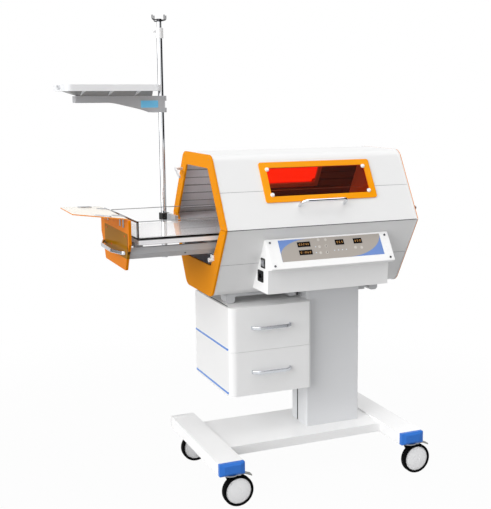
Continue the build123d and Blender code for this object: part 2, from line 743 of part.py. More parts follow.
# Window panes: two amber sheets screwed over the windows
with BuildPart() as hood_windows:
    for window_plane, window_shift in zip(window_planes, window_shifts):
        with BuildSketch(window_plane) as pane:
            with Locations((window_shift, 0)):
                RectangleRounded(pane_width, pane_height, pane_corner_radius)
            with Locations((window_shift, 0)):
                with GridLocations(2 * window_screw_half_span, 2 * window_screw_half_rise, 2, 2):
                    Circle(window_screw_radius + window_screw_gap, mode=Mode.SUBTRACT)
        extrude(pane.sketch, amount=pane_thickness)
keep(hood_windows, "hood_windows")

with BuildPart() as window_screws:
    for window_plane, window_shift in zip(window_planes, window_shifts):
        with BuildSketch(window_plane.offset(pane_thickness)) as screw_heads:
            with Locations((window_shift, 0)):
                with GridLocations(2 * window_screw_half_span, 2 * window_screw_half_rise, 2, 2):
                    Circle(window_screw_head_radius)
        extrude(screw_heads.sketch, amount=window_screw_head_height, taper=window_screw_head_taper)
        with BuildSketch(window_plane.offset(pane_thickness)) as shanks:
            with Locations((window_shift, 0)):
                with GridLocations(2 * window_screw_half_span, 2 * window_screw_half_rise, 2, 2):
                    Circle(window_screw_radius)
        extrude(shanks.sketch, amount=-window_screw_length)
keep(window_screws, "window_screws")

# Hood handle: a chrome rod bent into a bow
hood_handle_rise = 90
hood_handle_span = 200
hood_handle_stand = 46
hood_handle_radius = 6
hood_handle_bend = 22
hood_handle_offset = 3

with BuildPart() as hood_handle:
    rise_plane = hood_front_plane(hood_handle_rise)
    bow_plane = Plane(origin=rise_plane.origin, x_dir=rise_plane.x_dir, z_dir=-rise_plane.y_dir)
    with BuildLine(bow_plane) as bow_path:
        FilletPolyline((hood_handle_offset - hood_handle_span / 2, 0),
                       (hood_handle_offset - hood_handle_span / 2, hood_handle_stand),
                       (hood_handle_offset + hood_handle_span / 2, hood_handle_stand),
                       (hood_handle_offset + hood_handle_span / 2, 0), radius=hood_handle_bend)
    with BuildSketch(Plane(origin=bow_path.line @ 0, x_dir=(1, 0, 0), z_dir=rise_plane.z_dir)) as rod:
        Circle(hood_handle_radius)
    sweep(sections=rod.sketch, path=bow_path.line)
keep(hood_handle, "hood_handle")

# Reflectors: thin liners inside the shells, with a raised rib between slats
reflector_inset = 20
reflector_thickness = 1.5
reflector_end_gap = 0.3
rib_height = 3
rib_width = 4
rib_count = 8
reflector_length = body_length - 2 * reflector_end_gap
reflector_seam_gap = 12
reflector_window_margin = 10

with BuildPart() as hood_reflector:
    extrude(hood_outline(body_left + reflector_end_gap, reflector_inset, reflector_seam_gap),
            amount=reflector_length)
    extrude(hood_outline(body_left, reflector_inset + reflector_thickness, -cut_overrun),
            amount=body_length, mode=Mode.SUBTRACT)
    for slope_plane in (hood_front_plane, hood_back_plane):
        for rib in range(1, rib_count):
            rib_rise = hood_slope * rib / rib_count
            with BuildSketch(slope_plane(rib_rise).offset(-reflector_inset)) as rib_strip:
                Rectangle(reflector_length, rib_width)
            extrude(rib_strip.sketch, amount=-reflector_thickness - rib_height)
    for window_plane, window_shift in zip(window_planes, window_shifts):
        with BuildSketch(window_plane) as liner_hole:
            with Locations((window_shift, 0)):
                Rectangle(window_width + 2 * reflector_window_margin,
                          window_height + 2 * reflector_window_margin)
        extrude(liner_hole.sketch, amount=-2 * reflector_inset, mode=Mode.SUBTRACT)
keep(hood_reflector, "hood_reflector")

housing_rib_count = 5

with BuildPart() as lower_reflector:
    extrude(housing_outline(body_left + reflector_end_gap, reflector_inset, reflector_seam_gap),
            amount=reflector_length)
    extrude(housing_outline(body_left, reflector_inset + reflector_thickness, -cut_overrun),
            amount=body_length, mode=Mode.SUBTRACT)
    for mirrored in (1, -1):
        for rib in range(1, housing_rib_count):
            share = rib / housing_rib_count
            rib_y = mirrored * (-body_half_width + share * housing_run)
            rib_plane = Plane(origin=(body_x, body_y + rib_y, seam_height - share * housing_depth),
                              x_dir=(mirrored, 0, 0), z_dir=(0, -mirrored * housing_depth, -housing_run))
            with BuildSketch(rib_plane.offset(-reflector_inset)) as lower_rib:
                Rectangle(reflector_length, rib_width)
            extrude(lower_rib.sketch, amount=-reflector_thickness - rib_height)
keep(lower_reflector, "lower_reflector")

# Lamp tubes: five in the hood's top and five in the housing's bottom, held in holders at both ends
tube_radius = 8
tube_length = 590
tube_spacing = 38
tube_count = 5
holder_length = 16
holder_height = 16
holder_half_width = 92


def lamp_row(tube_z, holder_low, holder_high):
    """Lamp tubes side by side between two holders."""
    with BuildPart() as row:
        with BuildSketch(side_plane(body_x - tube_length / 2)) as tube_ends:
            with Locations((0, tube_z)):
                with GridLocations(tube_spacing, tube_spacing, tube_count, 1):
                    Circle(tube_radius)
        extrude(tube_ends.sketch, amount=tube_length)
        for side in (-1, 1):
            near_x = side * tube_length / 2
            far_x = near_x + side * holder_length
            add_block(min(near_x, far_x), max(near_x, far_x), -holder_half_width, holder_half_width,
                      holder_low, holder_high)
    return row


liner_top = hood_top - reflector_inset - reflector_thickness
liner_bottom = housing_bottom + reflector_inset + reflector_thickness
keep(lamp_row(liner_top - fit_gap - holder_height / 2, liner_top - holder_height - fit_gap,
              liner_top - fit_gap), "hood_lamp_tubes")
keep(lamp_row(liner_bottom + fit_gap + holder_height / 2, liner_bottom + fit_gap,
              liner_bottom + holder_height + fit_gap), "lower_lamp_tubes")

# Bed carriage: folded rails, an end plate behind the door, cross bars and pads for the crib tray
rail_height = 47
rail_crease_drop = 23
rail_crease = rail_top - rail_crease_drop
rail_bottom = rail_top - rail_height
rail_half_top = 190
rail_half_bottom = 166
rail_wall = 2
rail_flange = 16
carriage_plate_half_width = 178
plate_foot_rise = 6
plate_top_rise = 52
carriage_plate_bottom = rail_bottom + plate_foot_rise
carriage_plate_top = rail_top + plate_top_rise
carriage_plate_thickness = 3
pad_size = 24
tray_frame_rise = 13
tray_frame_bottom = rail_top + tray_frame_rise
tray_frame_height = 22
tray_frame_width = 430
tray_frame_length = 640
tray_frame_bar = 22
door_outer_x = -body_length / 2 - end_plate_thickness - bed_reach
door_inner_x = door_outer_x + door_wall
carriage_left = door_inner_x + fit_gap
carriage_right = carriage_left + carriage_length
cross_member_width = 30
crib_end_gap = 32
crib_left = door_inner_x + crib_end_gap

with BuildPart() as bed_carriage:
    for side in (-1, 1):
        with BuildSketch(side_plane(body_x + carriage_left)) as rail:
            with BuildLine() as rail_line:
                Polyline((side * (rail_half_top - rail_flange), rail_top - rail_wall / 2),
                         (side * (rail_half_top - rail_wall / 2), rail_top - rail_wall / 2),
                         (side * (rail_half_top - rail_wall / 2), rail_crease),
                         (side * (rail_half_bottom - rail_wall / 2), rail_bottom + rail_wall / 2),
                         (side * (rail_half_bottom - rail_flange), rail_bottom + rail_wall / 2))
                offset(rail_line.line, amount=rail_wall / 2, side=Side.BOTH)
            make_face()
        extrude(rail.sketch, amount=carriage_length)
    add_block(carriage_left, carriage_left + carriage_plate_thickness, -carriage_plate_half_width,
              carriage_plate_half_width, carriage_plate_bottom, carriage_plate_top)
    cross_places = (carriage_left + crib_end_gap, carriage_left + crib_length / 2,
                    carriage_right - cross_member_width)
    for cross_x in cross_places:
        add_block(cross_x, cross_x + cross_member_width, -rail_half_top + rail_wall / 2,
                  rail_half_top - rail_wall / 2, rail_top - rail_wall, rail_top + rail_wall / 2)
    for cross_x in cross_places[:2]:
        for side in (-1, 1):
            pad_y = side * (rail_half_top - pad_size)
            add_block(cross_x, cross_x + cross_member_width, pad_y - pad_size / 2, pad_y + pad_size / 2,
                      rail_top, tray_frame_bottom - fit_gap)
keep(bed_carriage, "bed_carriage")

# Crib tray: a dark frame with a thin clear floor, and the clear tub that lies on it
tray_floor_thickness = 3
crib_corner_radius = 14
frame_left = crib_left + (crib_length - tray_frame_length) / 2

with BuildPart() as crib_tray:
    add_block(frame_left, frame_left + tray_frame_length, -tray_frame_width / 2, tray_frame_width / 2,
              tray_frame_bottom, tray_frame_bottom + tray_frame_height)
    add_block(frame_left + tray_frame_bar, frame_left + tray_frame_length - tray_frame_bar,
              -tray_frame_width / 2 + tray_frame_bar, tray_frame_width / 2 - tray_frame_bar,
              tray_frame_bottom - tray_floor_thickness,
              tray_frame_bottom + tray_frame_height - tray_floor_thickness, Mode.SUBTRACT)
keep(crib_tray, "crib_tray")

tub_bottom = tray_frame_bottom + tray_frame_height + fit_gap
with BuildPart() as crib_tub:
    with BuildSketch(level(tub_bottom)) as tub_outline:
        with Locations((crib_left + crib_length / 2, 0)):
            RectangleRounded(crib_length, crib_width, crib_corner_radius)
    extrude(tub_outline.sketch, amount=crib_height)
    with BuildSketch(level(tub_bottom + crib_wall)) as tub_inside:
        with Locations((crib_left + crib_length / 2, 0)):
            RectangleRounded(crib_length - 2 * crib_wall, crib_width - 2 * crib_wall,
                             crib_corner_radius - crib_wall)
    extrude(tub_inside.sketch, amount=crib_height, mode=Mode.SUBTRACT)
keep(crib_tub, "crib_tub")

# Bed guides: two channels between the end ring and the end panel that the carriage slides on
guide_thickness = 3
guide_web_height = 34
guide_side_gap = 3
guide_ledge = 40
guide_web_y = rail_half_top + guide_side_gap

with BuildPart() as bed_guides:
    for side in (-1, 1):
        near_y = side * guide_web_y
        far_y = side * (guide_web_y + guide_thickness)
        ledge_y = side * (guide_web_y - guide_ledge)
        add_block(-body_length / 2, body_length / 2, min(near_y, far_y), max(near_y, far_y),
                  rail_bottom - fit_gap - guide_thickness, rail_bottom + guide_web_height)
        add_block(-body_length / 2, body_length / 2, min(ledge_y, far_y), max(ledge_y, far_y),
                  rail_bottom - fit_gap - guide_thickness, rail_bottom - fit_gap)
keep(bed_guides, "bed_guides")

# Bed door: a shallow orange lid on the carriage's end plate
door_shoulder_drop = 94
door_knee_drop = 50
door_knee_inset = 36
door_foot_drop = 58
door_foot_inset = 30
door_corner_radius = 6
door_shoulder_height = door_top_height - door_shoulder_drop
door_knee_height = door_shoulder_height - door_knee_drop
door_foot_height = door_knee_height - door_foot_drop
door_knee_half_width = door_half_width - door_knee_inset
door_foot_half_width = door_knee_half_width - door_foot_inset


def door_outline(plane, inset):
    """The door's outline, inset by its wall: upright sides above, sloping in below."""
    with BuildSketch(plane) as outline:
        with BuildLine():
            Polyline((-door_half_width, door_top_height), (door_half_width, door_top_height),
                     (door_half_width, door_shoulder_height), (door_knee_half_width, door_knee_height),
                     (door_foot_half_width, door_foot_height), (-door_foot_half_width, door_foot_height),
                     (-door_knee_half_width, door_knee_height), (-door_half_width, door_shoulder_height),
                     close=True)
        make_face()
        fillet(outline.vertices(), door_corner_radius)
        if inset:
            offset(amount=-inset, mode=Mode.REPLACE)
    return outline.sketch


with BuildPart() as bed_door:
    extrude(door_outline(side_plane(body_x + door_outer_x), 0), amount=door_depth)
    extrude(door_outline(side_plane(body_x + door_inner_x), door_wall), amount=door_depth, mode=Mode.SUBTRACT)
keep(bed_door, "bed_door")

door_handle_span = 334
door_handle_middle = 160
door_handle_stand = 34
door_handle_rise = 12
door_handle_height = door_knee_height + door_handle_rise
door_handle_place = Plane(origin=(body_x + door_outer_x, body_y, door_handle_height),
                          x_dir=(0, 1, 0), z_dir=(-1, 0, 0))
keep(bow_handle(door_handle_place, door_handle_span, door_handle_middle, door_handle_stand), "door_handle")

# Flap: an orange sheet hinged on the door's top edge, folded out and a little up
flap_base_half_width = 224
flap_tip_half_width = 120
flap_corner_radius = 8
flap_axis_rise = 5
flap_pin_radius = 2
flap_eye_radius = 4
flap_hinge_half_spacing = 125
flap_hinge_length = 70
flap_eye_length = 30
flap_leaf_length = 40
flap_leaf_thickness = 1.5
flap_leaf_gap = 1.5
catch_length = 64
catch_width = 18
catch_share = 0.45
flap_axis_x = door_outer_x + hinge_axis_inset
flap_axis_z = door_top_height + flap_axis_rise
flap_knuckle_length = (flap_hinge_length - flap_eye_length) / 2 - fit_gap
flap_notch_depth = flap_eye_radius + flap_leaf_gap
flap_far = flap_thickness + flap_length
flap_lean = math.degrees(math.atan2(flap_base_half_width - flap_tip_half_width, flap_length))
knuckle_starts = (-flap_hinge_length / 2, flap_hinge_length / 2 - flap_knuckle_length)


def flap_plane(rise):
    """Plane in the tilted flap, rise above its middle: its own X leads from the pins to the flap's tip."""
    origin = (body_x + flap_axis_x, body_y, flap_axis_z)
    return Plane(origin=origin, x_dir=(-flap_cos, 0, flap_sin), z_dir=(flap_sin, 0, flap_cos)).offset(rise)


def pin_plane(y, tilt_cos=1, tilt_sin=0):
    """Plane square to the flap's pins at y, centred on them; its own X leads away from the door."""
    return Plane(origin=(body_x + flap_axis_x, body_y + y, flap_axis_z), x_dir=(-tilt_cos, 0, tilt_sin),
                 z_dir=(0, 1, 0))


with BuildPart() as flap:
    with BuildSketch(flap_plane(-flap_thickness / 2)) as flap_outline:
        with BuildLine():
            Polyline((flap_thickness, -flap_base_half_width), (flap_far, -flap_tip_half_width),
                     (flap_far, flap_tip_half_width), (flap_thickness, flap_base_half_width), close=True)
        make_face()
        fillet(flap_outline.vertices().group_by(Axis.X)[-1], flap_corner_radius)
        with Locations((flap_notch_depth / 2, -flap_hinge_half_spacing),
                       (flap_notch_depth / 2, flap_hinge_half_spacing)):
            Rectangle(flap_notch_depth, flap_hinge_length + 2 * flap_leaf_gap, mode=Mode.SUBTRACT)
    extrude(flap_outline.sketch, amount=flap_thickness)
keep(flap, "flap")

# Fittings on the flap's upper side: the eyes of its hinges and two catch plates on its slanting edges
with BuildPart() as flap_fittings:
    for side in (-1, 1):
        eye_start = side * flap_hinge_half_spacing - flap_eye_length / 2
        with BuildSketch(pin_plane(eye_start, flap_cos, flap_sin)) as eye:
            Circle(flap_eye_radius)
            with Locations((flap_leaf_length / 2, flap_thickness / 2 + flap_leaf_thickness / 2)):
                Rectangle(flap_leaf_length, flap_leaf_thickness)
            Circle(flap_pin_radius + running_gap, mode=Mode.SUBTRACT)
        extrude(eye.sketch, amount=flap_eye_length)
        edge_y = (flap_base_half_width - catch_width
                  - catch_share * (flap_base_half_width - flap_tip_half_width))
        catch_place = Location((catch_share * flap_length, side * edge_y, 0), (0, 0, -side * flap_lean))
        with BuildSketch(flap_plane(flap_thickness / 2)) as catch_plate:
            with Locations(catch_place):
                RectangleRounded(catch_length, catch_width, flap_eye_radius)
        extrude(catch_plate.sketch, amount=2 * flap_leaf_thickness)
keep(flap_fittings, "flap_fittings")

# Flap hinges: pins and knuckles on leaves that are screwed to the door's outer face
with BuildPart() as flap_hinges:
    for side in (-1, 1):
        hinge_middle = side * flap_hinge_half_spacing
        with BuildSketch(pin_plane(hinge_middle - flap_hinge_length / 2)) as flap_pin:
            Circle(flap_pin_radius)
        extrude(flap_pin.sketch, amount=flap_hinge_length)
        for start in knuckle_starts:
            with BuildSketch(pin_plane(hinge_middle + start)) as flap_knuckle:
                Circle(flap_eye_radius)
                with Locations((hinge_axis_inset + flap_leaf_thickness / 2 + fit_gap, -flap_leaf_length / 2)):
                    Rectangle(flap_leaf_thickness, flap_leaf_length)
            extrude(flap_knuckle.sketch, amount=flap_knuckle_length)
keep(flap_hinges, "flap_hinges")

# Door buffers: brackets on the lower ring that the closed door rests against
buffer_y = 172
buffer_drop = 26
buffer_z = rail_bottom - buffer_drop
buffer_radius = 9
buffer_reach = 15
bracket_width = 34
bracket_outset = 10
bracket_thickness = 4
bracket_top_drop = 4
bracket_top = rail_bottom - bracket_top_drop
ring_face_x = -body_length / 2 - end_plate_thickness

with BuildPart() as door_buffers:
    for side in (-1, 1):
        bracket_y = side * (buffer_y + bracket_outset)
        add_block(ring_face_x - bracket_thickness, ring_face_x, bracket_y - bracket_width / 2,
                  bracket_y + bracket_width / 2, buffer_z, bracket_top)
        with BuildSketch(side_plane(body_x + ring_face_x)) as buffer_end:
            with Locations((side * buffer_y, buffer_z)):
                Circle(buffer_radius)
        extrude(buffer_end.sketch, amount=-buffer_reach)
keep(door_buffers, "door_buffers")

# Turn latch on the upper ring that holds the closed flap
latch_y = 188
latch_rise = 206
latch_z = seam_height + latch_rise
latch_post_radius = 6
latch_post_length = 28
latch_arm_length = 60
latch_arm_width = 14
latch_arm_thickness = 5
latch_tilt = 30

with BuildPart() as ring_latch:
    with BuildSketch(side_plane(body_x + ring_face_x - fit_gap)) as post:
        with Locations((latch_y, latch_z)):
            Circle(latch_post_radius)
    extrude(post.sketch, amount=-latch_post_length)
    with BuildSketch(side_plane(body_x + ring_face_x - fit_gap - latch_post_length)) as latch_arm:
        arm_middle = (latch_y - latch_arm_length / 2 * math.cos(math.radians(latch_tilt)),
                      latch_z - latch_arm_length / 2 * math.sin(math.radians(latch_tilt)))
        with Locations(Location((arm_middle[0], arm_middle[1], 0), (0, 0, latch_tilt))):
            SlotOverall(latch_arm_length + latch_arm_width, latch_arm_width)
    extrude(latch_arm.sketch, amount=-latch_arm_thickness)
keep(ring_latch, "ring_latch")

# Console: a case on the housing's front slope, a tilted bezel that overhangs it, and its fittings
console_width = 540
console_offset = 14
console_drop = 262
console_bottom = seam_height - console_drop
console_front_bottom = 334
console_back_top = 285
console_front_top = 341
console_shoulder_rise = 95
console_shoulder = console_bottom + console_shoulder_rise
bezel_width = 552
bezel_thickness = 14
bezel_lip_y = -389
bezel_lip_rise = 107
bezel_lip_z = console_bottom + bezel_lip_rise
bezel_top_y = -318
bezel_slope_rise = 110
bezel_top_z = bezel_lip_z + bezel_slope_rise
bezel_corner_radius = 6
bezel_lip_inset = 4
bezel_length = math.hypot(bezel_top_y - bezel_lip_y, bezel_top_z - bezel_lip_z)
bezel_rise = (bezel_top_z - bezel_lip_z) / bezel_length
bezel_run = (bezel_top_y - bezel_lip_y) / bezel_length
console_left = console_offset - console_width / 2


def bezel_plane(offset=0):
    """Plane of the bezel's face: its own axes are X from the console's centre, and the way up the face."""
    origin = (body_x + console_offset, body_y + bezel_lip_y, bezel_lip_z)
    return Plane(origin=origin, x_dir=(1, 0, 0), z_dir=(0, -bezel_rise, bezel_run)).offset(offset)


def bezel_point(along, depth):
    """Section point on the console: along the bezel's face from the lip, and that deep behind it."""
    return (bezel_lip_y + along * bezel_run + depth * bezel_rise,
            bezel_lip_z + along * bezel_rise - depth * bezel_run)


console_span_left = body_x + console_left - bezel_width
console_span = console_width + 2 * bezel_width


def console_section(plane, inset):
    """The console case's section, inset by its wall."""
    with BuildSketch(plane) as section:
        with BuildLine():
            Polyline((-housing_bottom_half_width, console_bottom), (-console_front_bottom, console_bottom),
                     (-console_front_top, console_shoulder), bezel_point(bezel_lip_inset, bezel_thickness),
                     bezel_point(bezel_length, bezel_thickness),
                     (-console_back_top, bezel_point(bezel_length, bezel_thickness)[1]), close=True)
        make_face()
        if inset:
            offset(amount=-inset, kind=Kind.INTERSECTION, mode=Mode.REPLACE)
    return section.sketch


# Rocker switch and mains inlet, in the console's left side
rocker_y = -289
rocker_rise = 119
rocker_z = console_bottom + rocker_rise
rocker_width = 28
rocker_height = 26
rocker_depth = 11
rocker_frame_width = 42
rocker_frame_height = 40
rocker_frame_proud = 2
rocker_proud = 5
rocker_side_gap = 0.5
rocker_swing = 14
rocker_edge_gap = 2.2
rocker_pin_radius = 2
rocker_pin_length = 3
inlet_y = -264
inlet_rise = 63
inlet_z = console_bottom + inlet_rise
inlet_width = 54
inlet_height = 46
inlet_flange = 3
inlet_corner_radius = 4
inlet_body_width = 31
inlet_body_height = 23
inlet_body_depth = 20
inlet_mouth_width = 25
inlet_mouth_height = 17
inlet_mouth_depth = 18
inlet_mouth_corner = 2
inlet_pin_width = 2
inlet_pin_height = 4
inlet_pin_length = 14
inlet_pin_spacing = 7
inlet_pin_drop = 2
switch_box_depth = rocker_depth + 2 * shell_thickness


def console_side_plane(y, z, offset=0):
    """Plane on the console's left side, centred at y and z, facing left; offset is proud of the side."""
    origin = (body_x + console_left, body_y + y, z)
    return Plane(origin=origin, x_dir=(0, -1, 0), z_dir=(-1, 0, 0)).offset(offset)


with BuildPart() as console_case:
    extrude(console_section(side_plane(body_x + console_left), 0), amount=console_width)
    extrude(console_section(side_plane(body_x + console_left + shell_thickness), shell_thickness),
            amount=console_width - 2 * shell_thickness, mode=Mode.SUBTRACT)
    extrude(housing_outline(console_span_left, -fit_gap - shell_thickness, -cut_overrun), amount=console_span)
    extrude(console_section(side_plane(body_x + console_left), 0), amount=console_width, mode=Mode.INTERSECT)
    extrude(housing_outline(console_span_left, -fit_gap, -cut_overrun), amount=console_span,
            mode=Mode.SUBTRACT)
    with BuildSketch(console_side_plane(rocker_y, rocker_z, rocker_frame_proud)) as switch_frame:
        RectangleRounded(rocker_frame_width, rocker_frame_height, inlet_corner_radius)
    extrude(switch_frame.sketch, amount=-rocker_frame_proud - switch_box_depth)
    with BuildSketch(console_side_plane(rocker_y, rocker_z, rocker_frame_proud)) as switch_hole:
        Rectangle(rocker_width, rocker_height)
    extrude(switch_hole.sketch, amount=-rocker_frame_proud - rocker_depth, mode=Mode.SUBTRACT)
    with BuildSketch(console_side_plane(inlet_y, inlet_z)) as inlet_hole:
        RectangleRounded(inlet_body_width + fit_gap, inlet_body_height + fit_gap, inlet_mouth_corner)
    extrude(inlet_hole.sketch, amount=-2 * shell_thickness, mode=Mode.SUBTRACT)
    for side in (-1, 1):
        pin_face = rocker_y + side * rocker_width / 2
        axis_plane = Plane(origin=(body_x + console_left, body_y + pin_face, rocker_z), x_dir=(1, 0, 0),
                           z_dir=(0, -side, 0))
        with BuildSketch(axis_plane) as rocker_pins:
            Circle(rocker_pin_radius)
        extrude(rocker_pins.sketch, amount=rocker_pin_length)
keep(console_case, "console_case")

# Rocker: a wedge on the pins of its frame, with its lower half pressed in
rocker_face_rise = rocker_height / 2 - rocker_edge_gap
rocker_dip = rocker_face_rise * math.tan(math.radians(rocker_swing))

with BuildPart() as rocker_switch:
    rocker_start = rocker_y - rocker_width / 2 + rocker_side_gap
    with BuildSketch(Plane(origin=(body_x + console_left, body_y + rocker_start, rocker_z), x_dir=(-1, 0, 0),
                           z_dir=(0, 1, 0))) as rocker_section:
        with BuildLine():
            Polyline((rocker_proud, rocker_face_rise), (rocker_proud, 0),
                     (rocker_proud - rocker_dip, -rocker_face_rise),
                     (-rocker_pin_radius - rocker_edge_gap, -rocker_face_rise / 2),
                     (-rocker_pin_radius - rocker_edge_gap, rocker_face_rise / 2), close=True)
        make_face()
    extrude(rocker_section.sketch, amount=rocker_width - 2 * rocker_side_gap)
    with BuildSketch(Plane(origin=(body_x + console_left, body_y + rocker_y - rocker_width / 2, rocker_z),
                           x_dir=(-1, 0, 0), z_dir=(0, 1, 0))) as pin_holes:
        Circle(rocker_pin_radius + running_gap)
    extrude(pin_holes.sketch, amount=rocker_pin_length + fit_gap, mode=Mode.SUBTRACT)
    with BuildSketch(Plane(origin=(body_x + console_left, body_y + rocker_y + rocker_width / 2, rocker_z),
                           x_dir=(-1, 0, 0), z_dir=(0, 1, 0))) as back_pin_hole:
        Circle(rocker_pin_radius + running_gap)
    extrude(back_pin_hole.sketch, amount=-rocker_pin_length - fit_gap, mode=Mode.SUBTRACT)
keep(rocker_switch, "rocker_switch")

# Mains inlet: a flange on the side, a body through the case and three flat pins in its mouth
with BuildPart() as mains_inlet:
    with BuildSketch(console_side_plane(inlet_y, inlet_z, fit_gap)) as inlet_plate:
        RectangleRounded(inlet_width, inlet_height, inlet_corner_radius)
    extrude(inlet_plate.sketch, amount=inlet_flange)
    with BuildSketch(console_side_plane(inlet_y, inlet_z, fit_gap)) as inlet_body:
        RectangleRounded(inlet_body_width, inlet_body_height, inlet_mouth_corner)
    extrude(inlet_body.sketch, amount=-inlet_body_depth)
    with BuildSketch(console_side_plane(inlet_y, inlet_z, fit_gap + inlet_flange)) as inlet_mouth:
        Rectangle(inlet_mouth_width, inlet_mouth_height)
        chamfer(inlet_mouth.vertices().group_by(Axis.Y)[-1], inlet_mouth_corner)
    extrude(inlet_mouth.sketch, amount=-inlet_mouth_depth, mode=Mode.SUBTRACT)
    mouth_floor = fit_gap + inlet_flange - inlet_mouth_depth
    with BuildSketch(console_side_plane(inlet_y, inlet_z, mouth_floor)) as contacts:
        with Locations((-inlet_pin_spacing, -inlet_pin_drop), (0, inlet_pin_drop),
                       (inlet_pin_spacing, -inlet_pin_drop)):
            Rectangle(inlet_pin_width, inlet_pin_height)
    extrude(contacts.sketch, amount=inlet_pin_length)
keep(mains_inlet, "mains_inlet")

# Console bezel: a tilted slab over the case, with a seat for the overlay and ribs beside it
overlay_width = 455
overlay_height = 93
overlay_low = 30
overlay_offset = 6
overlay_thickness = 1
overlay_recess = 0.6
display_thickness = 0.8
screw_half_span = 257
screw_low = 15
screw_high = 115
bezel_edge_radius = 3
bezel_screw_radius = 4.5
bezel_screw_head = 2
bezel_screw_shank_radius = 2
bezel_screw_length = 10
bezel_rib_count = 5
bezel_rib_length = 15
bezel_rib_width = 4
bezel_rib_height = 1
bezel_rib_spacing = 17
bezel_normal = Axis((0, 0, 0), (0, -bezel_rise, bezel_run))

with BuildPart() as console_bezel:
    with BuildSketch(bezel_plane(-bezel_thickness)) as bezel_outline:
        with Locations((0, bezel_length / 2)):
            RectangleRounded(bezel_width, bezel_length, bezel_corner_radius)
    extrude(bezel_outline.sketch, amount=bezel_thickness)
    fillet(console_bezel.faces().sort_by(bezel_normal)[-1].edges(), bezel_edge_radius)
    with BuildSketch(bezel_plane()) as overlay_seat:
        with Locations((overlay_offset, overlay_low + overlay_height / 2)):
            Rectangle(overlay_width + fit_gap, overlay_height + fit_gap)
    extrude(overlay_seat.sketch, amount=-overlay_recess, mode=Mode.SUBTRACT)
    with BuildSketch(bezel_plane(-bezel_thickness / 2)) as bezel_ribs:
        with Locations((-screw_half_span, (screw_low + screw_high) / 2),
                       (screw_half_span, (screw_low + screw_high) / 2)):
            with GridLocations(bezel_rib_spacing, bezel_rib_spacing, 1, bezel_rib_count):
                Rectangle(bezel_rib_length, bezel_rib_width)
    extrude(bezel_ribs.sketch, amount=bezel_thickness / 2 + bezel_rib_height)
    extrude(housing_outline(console_span_left, -fit_gap, -cut_overrun), amount=console_span,
            mode=Mode.SUBTRACT)
    with BuildSketch(bezel_plane()) as screw_holes:
        with Locations((0, (screw_low + screw_high) / 2)):
            with GridLocations(2 * screw_half_span, screw_high - screw_low, 2, 2):
                Circle(bezel_screw_shank_radius + window_screw_gap)
    extrude(screw_holes.sketch, amount=-bezel_screw_length - fit_gap, mode=Mode.SUBTRACT)
keep(console_bezel, "console_bezel")

# Overlay with four raised display windows: place along and up the face, width and height of each
display_windows = ((-114.5, 98.5, 56, 22), (-114, 63.5, 57, 21), (44, 97.5, 39, 23), (126.5, 97.5, 39, 23))

with BuildPart() as console_overlay:
    with BuildSketch(bezel_plane(-overlay_recess)) as overlay_sheet:
        with Locations((overlay_offset, overlay_low + overlay_height / 2)):
            Rectangle(overlay_width, overlay_height)
    extrude(overlay_sheet.sketch, amount=overlay_thickness)
    with BuildSketch(bezel_plane(overlay_thickness - overlay_recess)) as displays:
        for display_x, display_rise, display_width, display_height in display_windows:
            with Locations((display_x, display_rise)):
                Rectangle(display_width, display_height)
    extrude(displays.sketch, amount=display_thickness)
keep(console_overlay, "console_overlay")

with BuildPart() as console_screws:
    for screw_radius, screw_reach in ((bezel_screw_radius, bezel_screw_head),
                                      (bezel_screw_shank_radius, -bezel_screw_length)):
        with BuildSketch(bezel_plane()) as console_screw:
            with Locations((0, (screw_low + screw_high) / 2)):
                with GridLocations(2 * screw_half_span, screw_high - screw_low, 2, 2):
                    Circle(screw_radius)
        extrude(console_screw.sketch, amount=screw_reach)
keep(console_screws, "console_screws")

# Pole: a tube with a collar that carries the shelf's arm, held by two clamps on a plate at the lower ring
hook_rod_radius = 10.5
tray_seat_height = 21
arm_top = tray_bottom - tray_seat_height
arm_knuckle_height = 22
arm_low_knuckle_height = 20
arm_depth = 72
pole_collar_radius = 19
sleeve_radius = 22
sleeve_drops = (7, 59)
sleeve_tops = [seam_height - drop for drop in sleeve_drops]
sleeve_heights = (30, 59)
bracket_plate_thickness = 6
bracket_plate_near = 264
bracket_plate_far = 335
bracket_plate_drop = 75
bracket_plate_low = seam_height - bracket_plate_drop
sleeve_web_thickness = 8
fork_gap_top = arm_top - arm_knuckle_height
fork_gap_bottom = arm_top - arm_depth + arm_low_knuckle_height


def pole_plane(z):
    """Level plane at z, centred on the pole."""
    return Plane.XY.offset(z).shift_origin((body_x + pole_offset_x, body_y + pole_offset_y, z))


with BuildPart() as pole:
    with BuildSketch(pole_plane(pole_bottom)) as pole_section:
        Circle(pole_radius)
    extrude(pole_section.sketch, amount=pole_top - pole_bottom)
    with BuildSketch(pole_plane(fork_gap_bottom + fit_gap)) as collar_section:
        Circle(pole_collar_radius)
    extrude(collar_section.sketch, amount=fork_gap_top - fork_gap_bottom - 2 * fit_gap)
    with BuildSketch(pole_plane(pole_bottom)) as pole_bore:
        Circle(hook_rod_radius + running_gap)
    extrude(pole_bore.sketch, amount=pole_top - pole_bottom, mode=Mode.SUBTRACT)
keep(pole, "pole")

